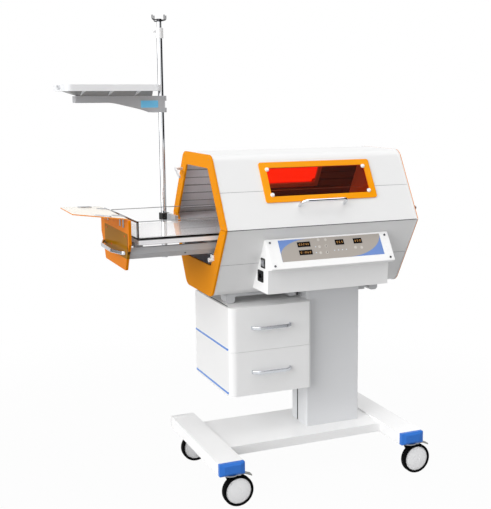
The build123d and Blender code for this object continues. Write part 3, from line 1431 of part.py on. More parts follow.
with BuildPart() as pole_brackets:
    add_block(ring_face_x - fit_gap - bracket_plate_thickness, ring_face_x - fit_gap, bracket_plate_near,
              bracket_plate_far, bracket_plate_low, sleeve_tops[0])
    for sleeve_top, sleeve_height in zip(sleeve_tops, sleeve_heights):
        with BuildSketch(pole_plane(sleeve_top - sleeve_height)) as sleeve:
            Circle(sleeve_radius)
        extrude(sleeve.sketch, amount=sleeve_height)
        add_block(pole_offset_x, ring_face_x - fit_gap, bracket_plate_near, pole_offset_y,
                  max(sleeve_top - sleeve_height, bracket_plate_low), sleeve_top)
    add_block(pole_offset_x - sleeve_radius,
              ring_face_x - fit_gap - sleeve_web_thickness - bracket_plate_thickness,
              bracket_plate_near - cut_overrun, pole_offset_y - sleeve_radius,
              bracket_plate_low - cut_overrun, sleeve_tops[0] + cut_overrun, Mode.SUBTRACT)
    with BuildSketch(pole_plane(sleeve_tops[1] - sleeve_heights[1])) as sleeve_bore:
        Circle(pole_radius + fit_gap)
    extrude(sleeve_bore.sketch, amount=sleeve_tops[0] - sleeve_tops[1] + sleeve_heights[1],
            mode=Mode.SUBTRACT)
keep(pole_brackets, "pole_brackets")

# Hook rod: a tube that slides in the pole, with two crossed hooks through its top
hook_rod_reach = 71
hook_rod_top = pole_top + hook_rod_reach
hook_rod_inside = 480
hook_wire_radius = 2.5
hook_half_length = 37
hook_level_drop = 4
hook_level = hook_rod_top - hook_level_drop
hook_tip_rise = 20
hook_bend = 8
hook_turns = (20, 110)

with BuildPart() as hook_rod:
    with BuildSketch(pole_plane(pole_top - hook_rod_inside)) as rod_section:
        Circle(hook_rod_radius)
    extrude(rod_section.sketch, amount=hook_rod_top - pole_top + hook_rod_inside)
    for turn, lift in zip(hook_turns, (0, 2 * hook_wire_radius)):
        turn_cos = math.cos(math.radians(turn))
        turn_sin = math.sin(math.radians(turn))
        hook_plane = Plane(origin=(body_x + pole_offset_x, body_y + pole_offset_y, hook_level - lift),
                           x_dir=(turn_cos, turn_sin, 0), z_dir=(turn_sin, -turn_cos, 0))
        with BuildLine(hook_plane) as hook_path:
            FilletPolyline((-hook_half_length, hook_tip_rise + lift), (-hook_half_length, 0),
                           (hook_half_length, 0), (hook_half_length, hook_tip_rise + lift), radius=hook_bend)
        tip_plane = Plane(origin=hook_path.line @ 0, x_dir=(turn_cos, turn_sin, 0), z_dir=(0, 0, -1))
        with BuildSketch(tip_plane) as wire:
            Circle(hook_wire_radius)
        sweep(sections=wire.sketch, path=hook_path.line)
keep(hook_rod, "hook_rod")

# Hook collar: a white sleeve on the pole's top with a clamping knob on its left
collar_radius = 17
collar_overlap = 12
collar_bottom = pole_top - collar_overlap
collar_height = 44
collar_knob_rise = 29
collar_knob_z = collar_bottom + collar_knob_rise
collar_knob_radius = 6
collar_knob_reach = 26
collar_knob_neck = 3

with BuildPart() as hook_collar:
    with BuildSketch(pole_plane(collar_bottom)) as collar_body:
        Circle(collar_radius)
    extrude(collar_body.sketch, amount=collar_height)
    knob_plane = Plane(origin=(body_x + pole_offset_x, body_y + pole_offset_y, collar_knob_z),
                       x_dir=(0, -1, 0), z_dir=(-1, 0, 0))
    with BuildSketch(knob_plane) as knob_neck:
        Circle(collar_knob_neck)
    extrude(knob_neck.sketch, amount=collar_knob_reach)
    with BuildSketch(knob_plane.offset(collar_radius + collar_knob_neck)) as knob_head:
        Circle(collar_knob_radius)
    extrude(knob_head.sketch, amount=collar_knob_reach - collar_radius)
    with BuildSketch(pole_plane(collar_bottom)) as collar_bore:
        Circle(pole_radius + fit_gap)
    extrude(collar_bore.sketch, amount=pole_top + fit_gap - collar_bottom, mode=Mode.SUBTRACT)
    with BuildSketch(pole_plane(collar_bottom)) as rod_bore:
        Circle(hook_rod_radius + running_gap)
    extrude(rod_bore.sketch, amount=collar_height, mode=Mode.SUBTRACT)
keep(hook_collar, "hook_collar")

# Shelf arm: a channel, open below, that forks round the pole's collar and turns on the pole
arm_width = 60
arm_wall = 4
arm_reach = 384
arm_nose_depth = 29
arm_nose_reach = 239
arm_heel_reach = 51
arm_end_reach = 8
arm_curve_share = 0.45
arm_curve_drop_share = 0.33
arm_hub_radius = 24

arm_left = pole_offset_x - arm_reach
arm_nose_right = pole_offset_x - arm_nose_reach
arm_heel_left = pole_offset_x - arm_heel_reach
arm_right = pole_offset_x + arm_end_reach


def arm_side(inset):
    """The arm's side outline, seen from the front: shallow on the left and curving down towards the pole."""
    top = arm_top - inset
    nose_bottom = arm_top - arm_nose_depth
    curve_x = arm_nose_right + arm_curve_share * (arm_heel_left - arm_nose_right)
    curve_z = nose_bottom - arm_curve_drop_share * (arm_depth - arm_nose_depth)
    with BuildSketch(front_plane(body_y + pole_offset_y + arm_width / 2 - inset)) as side_outline:
        with BuildLine():
            nose_line = Polyline((arm_heel_left, arm_top - arm_depth), (arm_right, arm_top - arm_depth),
                                 (arm_right, top), (arm_left + inset, top),
                                 (arm_left + inset, nose_bottom), (arm_nose_right, nose_bottom))
            Spline(nose_line @ 1, (curve_x, curve_z), nose_line @ 0, tangents=[(1, 0), (1, -arm_curve_share)])
        make_face()
    return side_outline.sketch


with BuildPart() as shelf_arm:
    extrude(arm_side(0), amount=arm_width)
    add_block(arm_left + arm_wall, arm_right + cut_overrun, pole_offset_y - arm_width / 2 + arm_wall,
              pole_offset_y + arm_width / 2 - arm_wall, arm_top - arm_depth - cut_overrun, arm_top - arm_wall,
              Mode.SUBTRACT)
    for hub_bottom, hub_height in ((fork_gap_top + fit_gap, arm_knuckle_height - fit_gap),
                                   (arm_top - arm_depth, arm_low_knuckle_height - fit_gap)):
        with BuildSketch(pole_plane(hub_bottom)) as hub:
            Circle(arm_hub_radius)
            with Locations((-arm_hub_radius, 0)):
                Rectangle(2 * arm_hub_radius, arm_width - arm_wall)
        extrude(hub.sketch, amount=hub_height)
    with BuildSketch(pole_plane(arm_top - arm_depth)) as hub_bore:
        Circle(pole_radius + fit_gap)
    extrude(hub_bore.sketch, amount=arm_depth, mode=Mode.SUBTRACT)
keep(shelf_arm, "shelf_arm")

# Shelf tray: a rounded tray with a hand-hold in its left rim, over a sloping keel with ribs
tray_reach = 447
tray_left = pole_offset_x - tray_reach
tray_corner_radius = 28
tray_wall = 3
tray_floor = 3
hand_hold_width = 85
hand_hold_height = 18
keel_top_inset = 24
keel_half_reach = 70
keel_left_reach = 367
keel_right_reach = 47
keel_width = 52
keel_length = keel_left_reach - keel_right_reach
tray_rib_reaches = (363, 244, 127)
tray_rib_thickness = 5
tray_rib_half_reach = 144
tray_middle = (tray_left + tray_length / 2, pole_offset_y)

with BuildPart() as shelf_tray:
    with BuildSketch(level(tray_bottom)) as tray_outline:
        with Locations(tray_middle):
            RectangleRounded(tray_length, tray_depth, tray_corner_radius)
    extrude(tray_outline.sketch, amount=tray_height)
    with BuildSketch(level(tray_bottom + tray_floor)) as tray_inside:
        with Locations(tray_middle):
            RectangleRounded(tray_length - 2 * tray_wall, tray_depth - 2 * tray_wall,
                             tray_corner_radius - tray_wall)
    extrude(tray_inside.sketch, amount=tray_height, mode=Mode.SUBTRACT)
    with BuildSketch(side_plane(body_x + tray_left - tray_wall)) as hand_hold:
        with Locations((pole_offset_y, tray_bottom + (tray_height + tray_floor) / 2)):
            SlotOverall(hand_hold_width, hand_hold_height)
    extrude(hand_hold.sketch, amount=cut_overrun, mode=Mode.SUBTRACT)
    with BuildSketch(level(tray_bottom)) as keel_top:
        with Locations(tray_middle):
            Rectangle(tray_length - 2 * keel_top_inset, 2 * keel_half_reach)
    with BuildSketch(level(arm_top + fit_gap)) as keel_foot:
        with Locations((pole_offset_x - keel_right_reach - keel_length / 2, pole_offset_y)):
            Rectangle(keel_length, keel_width)
    loft(sections=[keel_foot.sketch, keel_top.sketch])
    for rib_reach in tray_rib_reaches:
        with BuildSketch(side_plane(body_x + pole_offset_x - rib_reach)) as tray_rib:
            with BuildLine():
                Polyline((pole_offset_y - keel_width / 2, arm_top + fit_gap),
                         (pole_offset_y - tray_rib_half_reach, tray_bottom),
                         (pole_offset_y + tray_rib_half_reach, tray_bottom),
                         (pole_offset_y + keel_width / 2, arm_top + fit_gap), close=True)
            make_face()
        extrude(tray_rib.sketch, amount=tray_rib_thickness)
keep(shelf_tray, "shelf_tray")
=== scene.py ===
"""Infant phototherapy unit: finishes, small trim, floor, lamps and camera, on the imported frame, in metres."""

from __future__ import annotations

import logging
import math
from dataclasses import dataclass, replace
from enum import Enum
from typing import Any, Callable, Mapping, Sequence, Union

import bmesh
import bpy
from mathutils import Matrix, Vector


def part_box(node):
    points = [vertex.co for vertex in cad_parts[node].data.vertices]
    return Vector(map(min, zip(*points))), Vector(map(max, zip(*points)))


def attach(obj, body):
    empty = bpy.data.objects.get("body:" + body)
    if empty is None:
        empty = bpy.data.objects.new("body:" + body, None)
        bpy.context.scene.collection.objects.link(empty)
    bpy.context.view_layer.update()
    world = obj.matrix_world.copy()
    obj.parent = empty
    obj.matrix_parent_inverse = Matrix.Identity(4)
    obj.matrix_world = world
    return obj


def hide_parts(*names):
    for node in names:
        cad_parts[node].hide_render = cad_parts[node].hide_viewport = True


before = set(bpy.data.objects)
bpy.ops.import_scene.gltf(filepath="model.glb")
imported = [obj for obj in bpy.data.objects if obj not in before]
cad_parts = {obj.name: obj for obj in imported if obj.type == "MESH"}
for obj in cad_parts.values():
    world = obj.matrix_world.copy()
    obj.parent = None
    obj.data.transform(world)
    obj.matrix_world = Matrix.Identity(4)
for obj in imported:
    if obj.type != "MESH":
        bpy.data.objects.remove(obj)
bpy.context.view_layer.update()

log = logging.getLogger("phototherapy_unit")

Colour = tuple[float, float, float, float]
Term = Union["Wire", float]
Profile = Sequence[tuple[float, float]]

MM = 0.001
SHARP_ANGLE = math.radians(32)
DARK = (0.0, 0.0, 0.0, 1.0)
GRIME = (0.1, 0.1, 0.1, 1.0)
WHITE = (1.0, 1.0, 1.0, 1.0)
HERE = Matrix.Identity(4)
FRONT = Vector((0.0, -1.0, 0.0))
LEFT = Vector((-1.0, 0.0, 0.0))
RIGHT = Vector((1.0, 0.0, 0.0))
UP = Vector((0.0, 0.0, 1.0))

# Turned profiles, in shares of the radius and of the height.
DOME_SCREW = ((0.0, 0.4), (0.42, 0.4), (0.46, 1.0), (0.74, 0.86), (0.94, 0.5), (1.0, 0.0), (0.0, 0.0))
KEY_CAP = ((0.0, 1.0), (0.86, 1.0), (1.0, 0.5), (1.0, 0.0), (0.0, 0.0))
LAMP_DOME = ((0.0, 0.4), (0.6, 0.34), (0.9, 0.16), (1.0, 0.0), (0.0, 0.0))
KNOB = ((0.0, 1.0), (0.7, 1.0), (1.0, 0.8), (1.0, 0.35), (0.6, 0.25), (0.6, 0.0), (0.0, 0.0))


def seen(red: int, green: int, blue: int) -> Colour:
    """A colour as it looks on a screen, turned into the shader's linear terms.

    Args:
        red: Red from 0 to 255.
        green: Green from 0 to 255.
        blue: Blue from 0 to 255.

    Returns:
        The linear colour with full alpha.
    """

    def linear(level: int) -> float:
        """One channel of the colour in linear terms."""
        share = level / 255
        return share / 12.92 if share <= 0.04045 else ((share + 0.055) / 1.055) ** 2.4

    return (linear(red), linear(green), linear(blue), 1.0)


def toned(colour: Colour, share: float) -> Colour:
    """The colour with each channel multiplied by share."""
    return (colour[0] * share, colour[1] * share, colour[2] * share, 1.0)


def maths(operation: str, turned: bool = False) -> Callable[..., Wire]:
    """A method that joins a wire and other terms by a Math node.

    Args:
        operation: The node's operation.
        turned: Whether the wire is the last term.

    Returns:
        The method.
    """

    def joined(wire: Wire, *others: Term) -> Wire:
        """The node's result."""
        terms = (*others, wire) if turned else (wire, *others)
        return wire.graph.node("ShaderNodeMath", {"operation": operation}, dict(enumerate(terms)))

    return joined


class Wire:
    """One output of a shader node, which Python's operators join to others. Comparisons give 1 or 0."""

    __add__ = __radd__ = maths("ADD")
    __sub__ = maths("SUBTRACT")
    __rsub__ = maths("SUBTRACT", True)
    __mul__ = __rmul__ = maths("MULTIPLY")
    __truediv__ = maths("DIVIDE")
    __abs__ = maths("ABSOLUTE")
    __gt__ = maths("GREATER_THAN")
    __lt__ = maths("LESS_THAN")
    at_least = maths("MAXIMUM")
    fraction = maths("FRACT")
    root = maths("SQRT")

    def __init__(self, graph: Graph, socket: bpy.types.NodeSocket) -> None:
        """Holds the output.

        Args:
            graph: The graph that the node belongs to.
            socket: The node's output socket.
        """
        self.graph = graph
        self.socket = socket

    def near_whole(self, width: float) -> Wire:
        """1 where this is within half the width of a whole number, else 0."""
        return abs((self + 0.5).fraction() - 0.5) < width / 2

    def eased(self, low: float, high: float) -> Wire:
        """Rises smoothly from 0 at low to 1 at high."""
        return self.graph.node("ShaderNodeMapRange", {"interpolation_type": "SMOOTHSTEP"},
                               {"Value": self, "From Min": low, "From Max": high})


@dataclass(frozen=True)
class Clouds:
    """Soft patches: how many per metre, how many finer layers they have and how much they show."""

    rate: float
    detail: float
    depth: float

    def at_depth(self, depth: float) -> Clouds:
        """The same patches with another depth."""
        return replace(self, depth=depth)


# The patches of each kind of surface.
MOULDED = Clouds(6.0, 3.0, 0.06)
PANEL_STAINS = Clouds(4.0, 2.0, 0.12)
TARNISH = Clouds(22.0, 3.0, 0.35)
SHEET_STAINS = Clouds(4.0, 2.0, 0.16)
REFLECTION_CLOUDS = Clouds(12.0, 3.0, 0.2)
PLATE_AND_SHADE_CLOUDS = Clouds(7.0, 3.0, 0.3)
PANE_STAINS = Clouds(5.0, 2.0, 0.12)
TUB_HAZE = Clouds(3.0, 1.0, 0.1)
LAMP_FROST = Clouds(60.0, 2.0, 0.2)
PRINT_GRAIN = Clouds(30.0, 3.0, 0.15)
GLOW_GRAIN = Clouds(900.0, 1.0, 0.4)


class Graph:
    """The node tree of one material or of the world, emptied and filled again."""

    def __init__(self, tree: bpy.types.NodeTree) -> None:
        """Empties the tree.

        Args:
            tree: The node tree to fill.
        """
        self.tree = tree
        tree.nodes.clear()

    def node(self, kind: str, settings: Mapping[str, Any] | None = None,
             inputs: Mapping[Union[str, int], Any] | None = None, output: Union[str, int] = 0) -> Wire:
        """Adds any node.

        Args:
            kind: The node's type.
            settings: Its own properties, which are set first.
            inputs: Values or wires for its sockets, by name or number.
            output: The output that is handed back.

        Returns:
            That output as a wire.
        """
        made = self.tree.nodes.new(kind)
        for name, value in (settings or {}).items():
            setattr(made, name, value)
        for name, value in (inputs or {}).items():
            if isinstance(value, Wire):
                self.tree.links.new(value.socket, made.inputs[name])
            else:
                made.inputs[name].default_value = value
        return Wire(self, made.outputs[output])

    def place(self) -> Wire:
        """The point's own place on its piece, in metres of the frame."""
        return self.node("ShaderNodeTexCoord", output="Object")

    def parts(self, place: Wire) -> tuple[Wire, Wire, Wire]:
        """X, Y and Z of a place."""
        split = self.node("ShaderNodeSeparateXYZ", inputs={0: place}).socket.node
        return (Wire(self, split.outputs[0]), Wire(self, split.outputs[1]), Wire(self, split.outputs[2]))

    def spot(self) -> tuple[Wire, Wire, Wire]:
        """X, Y and Z of the point's own place."""
        return self.parts(self.place())

    def facing_up(self) -> Wire:
        """How far the face looks up: 1 for up, 0 for sideways, -1 for down."""
        return self.parts(self.node("ShaderNodeTexCoord", output="Normal"))[2]

    def plain_rays(self) -> Wire:
        """1 for camera, glossy and transmission rays, which show the background as it is."""
        camera = self.node("ShaderNodeLightPath", output="Is Camera Ray")
        glossy = self.node("ShaderNodeLightPath", output="Is Glossy Ray")
        through = self.node("ShaderNodeLightPath", output="Is Transmission Ray")
        return camera.at_least(glossy).at_least(through)

    def noise(self, scale: float, detail: float, stretch: Sequence[float] = (1.0, 1.0, 1.0)) -> Wire:
        """Soft noise between about 0 and 1.

        Args:
            scale: Bumps per metre.
            detail: How many finer layers are added.
            stretch: How much finer it is along X, Y and Z.

        Returns:
            The noise.
        """
        placed = self.node("ShaderNodeMapping", inputs={"Vector": self.place(), "Scale": tuple(stretch)})
        return self.node("ShaderNodeTexNoise", inputs={"Vector": placed, "Scale": scale, "Detail": detail})

    def blend(self, share: Term, first: Any, second: Any) -> Wire:
        """The first colour turning into the second as share goes from 0 to 1."""
        return self.node("ShaderNodeMix", {"data_type": "RGBA"}, {0: share, 6: first, 7: second}, 2)

    def clouded(self, colour: Union[Wire, Colour], clouds: Clouds, dark: Colour) -> Wire:
        """A colour with soft clouds of a darker one.

        Args:
            colour: The colour.
            clouds: How many clouds there are and how much they show.
            dark: The darker colour.

        Returns:
            The clouded colour.
        """
        return self.blend(self.noise(clouds.rate, clouds.detail) * clouds.depth, colour, dark)

    def dust(self) -> Wire:
        """Small patches of dust, between 0 and 1."""
        return self.noise(55.0, 5.0).eased(0.5, 0.9)

    def bump(self, height: Wire, depth: float) -> Wire:
        """A surface normal that is tipped by a height map of that depth in metres."""
        return self.node("ShaderNodeBump", inputs={"Height": height, "Distance": depth, "Strength": 1.0})

    def principled(self, inputs: Mapping[Union[str, int], Any]) -> Wire:
        """The main surface shader with these sockets set."""
        return self.node("ShaderNodeBsdfPrincipled", inputs=inputs)

    def mixed(self, share: Term, first: Wire, second: Wire) -> Wire:
        """The first shader turning into the second as share goes from 0 to 1."""
        return self.node("ShaderNodeMixShader", inputs={0: share, 1: first, 2: second})

    def finish(self, shader: Wire, kind: str = "ShaderNodeOutputMaterial") -> None:
        """Joins the shader to the tree's output node."""
        output = self.tree.nodes.new(kind)
        self.tree.links.new(shader.socket, output.inputs["Surface"])


def node_material(name: str) -> tuple[bpy.types.Material, Graph]:
    """A new material of that name, with its emptied graph."""
    made = bpy.data.materials.new(name)
    made.use_nodes = True
    return made, Graph(made.node_tree)


class Skin(Enum):
    """How a coated surface is broken up: bumps per metre, and their height in metres."""

    ORANGE_PEEL = (380.0, 0.00005)
    SPARK_GRAIN = (1400.0, 0.00003)
    SATIN = (150.0, 0.00001)


class Lay(Enum):
    """Which way a metal's fine marks run: how much finer they are along X, Y and Z."""

    MIRROR = (1.0, 1.0, 1.0)
    ALONG_X = (0.02, 1.0, 1.0)
    ALONG_Y = (1.0, 0.02, 1.0)
    UPRIGHT = (1.0, 1.0, 0.02)
    CAST = (0.4, 0.4, 0.4)


@dataclass(frozen=True)
class Finish:
    """A finish, whose material is made once and shared."""

    name: str
    colour: Colour

    def material(self) -> bpy.types.Material:
        """The Blender material of this finish."""
        found = bpy.data.materials.get(self.name)
        if found is not None:
            return found
        made, graph = node_material(self.name)
        made.diffuse_color = self.colour
        graph.finish(self.shader(graph))
        return made

    def shader(self, graph: Graph) -> Wire:
        """The finish's shader.

        Args:
            graph: The graph to build it in.

        Returns:
            The shader's output.
        """
        raise NotImplementedError


@dataclass(frozen=True)
class Coating(Finish):
    """Powder coat, moulded plastic or rubber: almost even, with a fine skin and a few duller patches."""

    roughness: float = 0.36
    skin: Skin = Skin.ORANGE_PEEL
    mottling: float = 0.1
    lacquer: float = 0.0
    scuffing: float = 0.12
    gloss: float = 0.15

    def tone(self, graph: Graph) -> Wire:
        """The colour, with faint clouds."""
        return graph.clouded(self.colour, MOULDED.at_depth(self.mottling), toned(self.colour, 0.72))

    def wear(self, graph: Graph) -> Wire:
        """Where the coat is scuffed, between 0 and 1."""
        return graph.noise(38.0, 4.0).eased(0.55, 0.8)

    def shader(self, graph: Graph) -> Wire:
        """The colour with duller scuffs and a fine bump."""
        rate, depth = self.skin.value
        return graph.principled({
            "Base Color": self.tone(graph),
            "Roughness": self.roughness + self.wear(graph) * self.scuffing,
            "Specular IOR Level": self.gloss,
            "Coat Weight": self.lacquer,
            "Coat Roughness": 0.08,
            "Normal": graph.bump(graph.noise(rate, 1.0), depth),
        })


@dataclass(frozen=True)
class EndCap(Coating):
    """The legs' end caps: coloured at the front, pale at the back."""

    rear_colour: Colour = (0.9, 0.9, 0.9, 1.0)

    def tone(self, graph: Graph) -> Wire:
        """A colour that changes at the middle of the legs."""
        low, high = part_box("leg_end_caps")
        _, y, _ = graph.spot()
        plain = graph.blend(y > (low.y + high.y) / 2, self.colour, self.rear_colour)
        return graph.clouded(plain, MOULDED.at_depth(self.mottling), GRIME)


@dataclass(frozen=True)
class TrayCoat(Coating):
    """The shelf tray's moulding, with painted shade on the faces that look down between its ribs."""

    shade: float = 0.38
    level_face: float = -0.12

    def tone(self, graph: Graph) -> Wire:
        """Colour by whether the face looks down."""
        # Painted shade: faces that look down take a darker copy of the colour.
        plain = graph.blend(graph.facing_up() < self.level_face, self.colour, toned(self.colour, self.shade))
        return graph.clouded(plain, MOULDED, toned(self.colour, 0.8))


@dataclass(frozen=True)
class CaseCoat(Coating):
    """The console case: pale, with a black frame that stands out round the switch on its left side."""

    frame_colour: Colour = (0.01, 0.01, 0.01, 1.0)
    frame_depth: float = 1.5

    def tone(self, graph: Graph) -> Wire:
        """Colour by whether the point stands out of the left side."""
        low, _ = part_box("console_case")
        x, _, _ = graph.spot()
        plain = graph.blend(x < low.x + self.frame_depth * MM, self.colour, self.frame_colour)
        return graph.clouded(plain, MOULDED, GRIME)


@dataclass(frozen=True)
class EndPanel(Coating):
    """The right end panels: orange faces on a pale rim."""

    rim_colour: Colour = (0.8, 0.8, 0.8, 1.0)
    cloud_colour: Colour = (0.2, 0.1, 0.05, 1.0)
    face_depth: float = 3.0

    def tone(self, graph: Graph) -> Wire:
        """Colour by how deep the point is behind the panel's outer face."""
        _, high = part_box("lower_end_panel")
        x, _, _ = graph.spot()
        plain = graph.blend(x < high.x - self.face_depth * MM, self.colour, self.rim_colour)
        return graph.clouded(plain, PANEL_STAINS, self.cloud_colour)

    def wear(self, graph: Graph) -> Wire:
        """Dust in place of scuffs."""
        return graph.dust()


@dataclass(frozen=True)
class Metal(Finish):
    """Bare, brushed, plated or chromed metal."""

    roughness: float = 0.25
    lay: Lay = Lay.MIRROR
    spread: float = 0.12
    metallic: float = 1.0

    def tone(self, graph: Graph) -> Wire:
        """The colour, with faint cloudy tarnish."""
        return graph.clouded(self.colour, TARNISH, toned(self.colour, 0.7))

    def shader(self, graph: Graph) -> Wire:
        """Metal with fine marks along its lay."""
        marks = graph.noise(900.0, 2.0, self.lay.value)
        return graph.principled({
            "Base Color": self.tone(graph),
            "Metallic": self.metallic,
            "Roughness": (self.roughness + (marks - 0.5) * self.spread).at_least(0.03),
            "Normal": graph.bump(marks, 0.00001),
        })


@dataclass(frozen=True)
class SplitMetal(Metal):
    """Metal that has another colour above a height."""

    upper_colour: Colour = (0.5, 0.5, 0.5, 1.0)
    level: float = 0.0

    def tone(self, graph: Graph) -> Wire:
        """Two colours, parted at the height."""
        _, _, z = graph.spot()
        plain = graph.blend(z > self.level * MM, self.colour, self.upper_colour)
        return graph.clouded(plain, TARNISH.at_depth(0.3), GRIME)


@dataclass(frozen=True)
class TrayMetal(Metal):
    """The crib tray's sheet, with a black bead round its upper edge."""

    bead_colour: Colour = (0.01, 0.01, 0.01, 1.0)
    bead_height: float = 5.0
    level_face: float = 0.5

    def tone(self, graph: Graph) -> Wire:
        """Colour by height, on the faces that look sideways."""
        _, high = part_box("crib_tray")
        _, _, z = graph.spot()
        bead = (z > high.z - self.bead_height * MM) * (graph.facing_up() < self.level_face)
        return graph.blend(bead, super().tone(graph), self.bead_colour)


@dataclass(frozen=True)
class BracketMetal(Metal):
    """The pole's brackets: plated, with black sleeves round the pole."""

    sleeve_colour: Colour = (0.005, 0.005, 0.005, 1.0)
    sleeve_radius: float = 23.5

    def tone(self, graph: Graph) -> Wire:
        """Colour by how far the point is from the pole's middle."""
        low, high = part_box("pole")
        x, y, _ = graph.spot()
        across, behind = x - (low.x + high.x) / 2, y - (low.y + high.y) / 2
        sleeve = across * across + behind * behind < (self.sleeve_radius * MM) ** 2
        plated = graph.clouded(self.colour, TARNISH.at_depth(0.3), toned(self.colour, 0.7))
        return graph.blend(sleeve, plated, self.sleeve_colour)


@dataclass(frozen=True, kw_only=True)
class Slats(Metal):
    """A reflector of stepped slats with dark joints, and painted shade that deepens away from the left opening.
    """

    layout: Layout
    side: Slope
    joints: int
    joint_width: float = 4.0
    joint_depth: float = 0.6
    left_end: float = -421.0
    shade_start_depth: float = 150.0
    shade_full_depth: float = 330.0
    shade_share: float = 0.16

    def tone(self, graph: Graph) -> Wire:
        """Colour by the point's place up the slope and in from the opening."""
        x, y, z = graph.spot()
        pitch = self.side.length / self.joints * MM
        joint = (self.side.rise(self.layout, y, z) / pitch).near_whole(self.joint_width * MM / pitch)
        # Painted shade: the slats turn darker from the left opening inwards, where less light reaches inside
        # the box.
        depth = x - (self.layout.centre_x + self.left_end * MM)
        painted_shade = depth.eased(self.shade_start_depth * MM, self.shade_full_depth * MM)
        plain = graph.blend(painted_shade, self.colour, toned(self.colour, self.shade_share))
        worn = graph.clouded(plain, TARNISH.at_depth(0.2), toned(self.colour, 0.3))
        return graph.blend(joint * self.joint_depth, worn, DARK)


@dataclass(frozen=True)
class Acrylic(Finish):
    """Cast acrylic sheet with polished faces."""

    roughness: float = 0.12
    gloss: float = 0.003
    ripple: float = 0.0003

    def tone(self, graph: Graph) -> Wire:
        """The tint, with faint clouds."""
        return graph.clouded(self.colour, SHEET_STAINS, toned(self.colour, 0.7))

    def shader(self, graph: Graph) -> Wire:
        """Tinted sheet with a faint ripple and dust."""
        return graph.principled({
            "Base Color": self.tone(graph),
            "Roughness": self.roughness + graph.dust() * 0.14,
            "Specular IOR Level": self.gloss,
            "Normal": graph.bump(graph.noise(9.0, 1.0), self.ripple),
        })


@dataclass(frozen=True)
class FlapSheet(Acrylic):
    """The flap: orange sheet whose up-facing faces are painted pale, a painted reflection of the bright
    surroundings that the sheet mirrors at a low angle.
    """

    roughness: float = 0.2
    gloss: float = 0.03
    ripple: float = 0.0
    reflection_colour: Colour = seen(250, 246, 236)
    level_face: float = 0.8

    def tone(self, graph: Graph) -> Wire:
        """Colour by whether the face looks up."""
        # Painted reflection: the pale colour on up-facing faces stands in for the bright surroundings that the
        # sheet mirrors.
        film = graph.clouded(self.reflection_colour, REFLECTION_CLOUDS, toned(self.reflection_colour, 0.85))
        return graph.blend(graph.facing_up() > self.level_face, super().tone(graph), film)


@dataclass(frozen=True, kw_only=True)
class DoorSheet(Acrylic):
    """The bed's orange door, darker where the carriage's grey end plate stands behind it: partly the plate's
    own colour, partly painted shade, since the plate stands in shadow.
    """

    plate_and_shade_colour: Colour
    line_colour: Colour
    layout: Layout
    gloss: float = 0.004
    backed_left: float = -197.0
    backed_right: float = 163.0
    backed_low: float = 966.0
    backed_high: float = 1066.0
    line_width: float = 9.0

    def tone(self, graph: Graph) -> Wire:
        """Colour by the point's place across and up the door."""
        _, y, z = graph.spot()
        across = y - self.layout.centre_y
        level = (z > self.backed_low * MM) * (z < self.backed_high * MM)
        edge = self.backed_left * MM
        backed = (across > edge) * (across < self.backed_right * MM) * level
        line = (across > edge - self.line_width * MM) * (across < edge) * level
        # Partly painted shade: the end plate behind the sheet is grey of its own and stands in shadow.
        darker = graph.clouded(self.plate_and_shade_colour, PLATE_AND_SHADE_CLOUDS, toned(self.plate_and_shade_colour, 0.7))
        return graph.blend(line, graph.blend(backed, super().tone(graph), darker), self.line_colour)


@dataclass(frozen=True)
class Layout:
    """The light box's middle in the frame. Places are millimetres from it, heights from the floor."""

    centre_x: float
    centre_y: float

    @classmethod
    def from_frame(cls) -> Layout:
        """Finds the middle from the lower housing, which is even on both sides."""
        low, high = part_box("lower_housing")
        return cls((low.x + high.x) / 2, (low.y + high.y) / 2)

    def at(self, x: float, y: float, z: float) -> Vector:
        """A place in the frame from millimetres beside, behind and above."""
        return Vector((self.centre_x + x * MM, self.centre_y + y * MM, z * MM))


@dataclass(frozen=True)
class Slope:
    """The light box's front and back slopes above or below the seam: their run inwards and their height."""

    run: float
    height: float
    upward: float = 1.0
    seam_height: float = 1071.0
    half_width: float = 333.0

    @property
    def length(self) -> float:
        """Length of the slope."""
        return math.hypot(self.run, self.height)

    def rise(self, layout: Layout, y: Wire, z: Wire) -> Wire:
        """How far a point is along the slope from the seam, in metres.

        Args:
            layout: The light box's middle.
            y: The point's Y.
            z: The point's Z.

        Returns:
            The distance, on the front and the back slope alike.
        """
        inward = self.half_width * MM - abs(y - layout.centre_y)
        steep = self.upward * self.height / self.length
        return inward * (self.run / self.length) + (z - self.seam_height * MM) * steep

    def matrix(self, layout: Layout, rise: float) -> Matrix:
        """The front slope's directions at its middle, that far along it from the seam."""
        share = rise / self.length
        up = Vector((0.0, self.run, self.upward * self.height))
        spot = layout.at(0.0, up.y * share - self.half_width, self.seam_height + up.z * share)
        return facing(spot, Vector((0.0, -self.height, self.upward * self.run)), up)


HOOD_SIDE = Slope(163.0, 280.0)
HOUSING_SIDE = Slope(175.0, 290.0, -1.0)


@dataclass(frozen=True)
class WindowPane(Finish):
    """An amber pane whose border is backed by the hood, and whose middle is clear and red."""

    clear_colour: Colour
    layout: Layout
    opening_middle: float = 13.0
    opening_width: float = 441.0
    opening_height: float = 126.0
    opening_rise: float = 196.0

    def shader(self, graph: Graph) -> Wire:
        """Two shaders, parted where the hood's opening ends."""
        x, y, z = graph.spot()
        across = abs(x - (self.layout.centre_x + self.opening_middle * MM)) < self.opening_width / 2 * MM
        rise = HOOD_SIDE.rise(self.layout, y, z)
        along = abs(rise - self.opening_rise * MM) < self.opening_height / 2 * MM
        colour = graph.clouded(self.colour, PANE_STAINS, toned(self.colour, 0.7))
        border = graph.principled({"Base Color": colour, "Roughness": 0.16, "Specular IOR Level": 0.15})
        middle = graph.principled({"Base Color": self.clear_colour, "Roughness": 0.02, "IOR": 1.15,
                                   "Transmission Weight": 1.0,
                                   "Normal": graph.bump(graph.noise(12.0, 1.0), 0.0002)})
        return graph.mixed(across * along, border, middle)


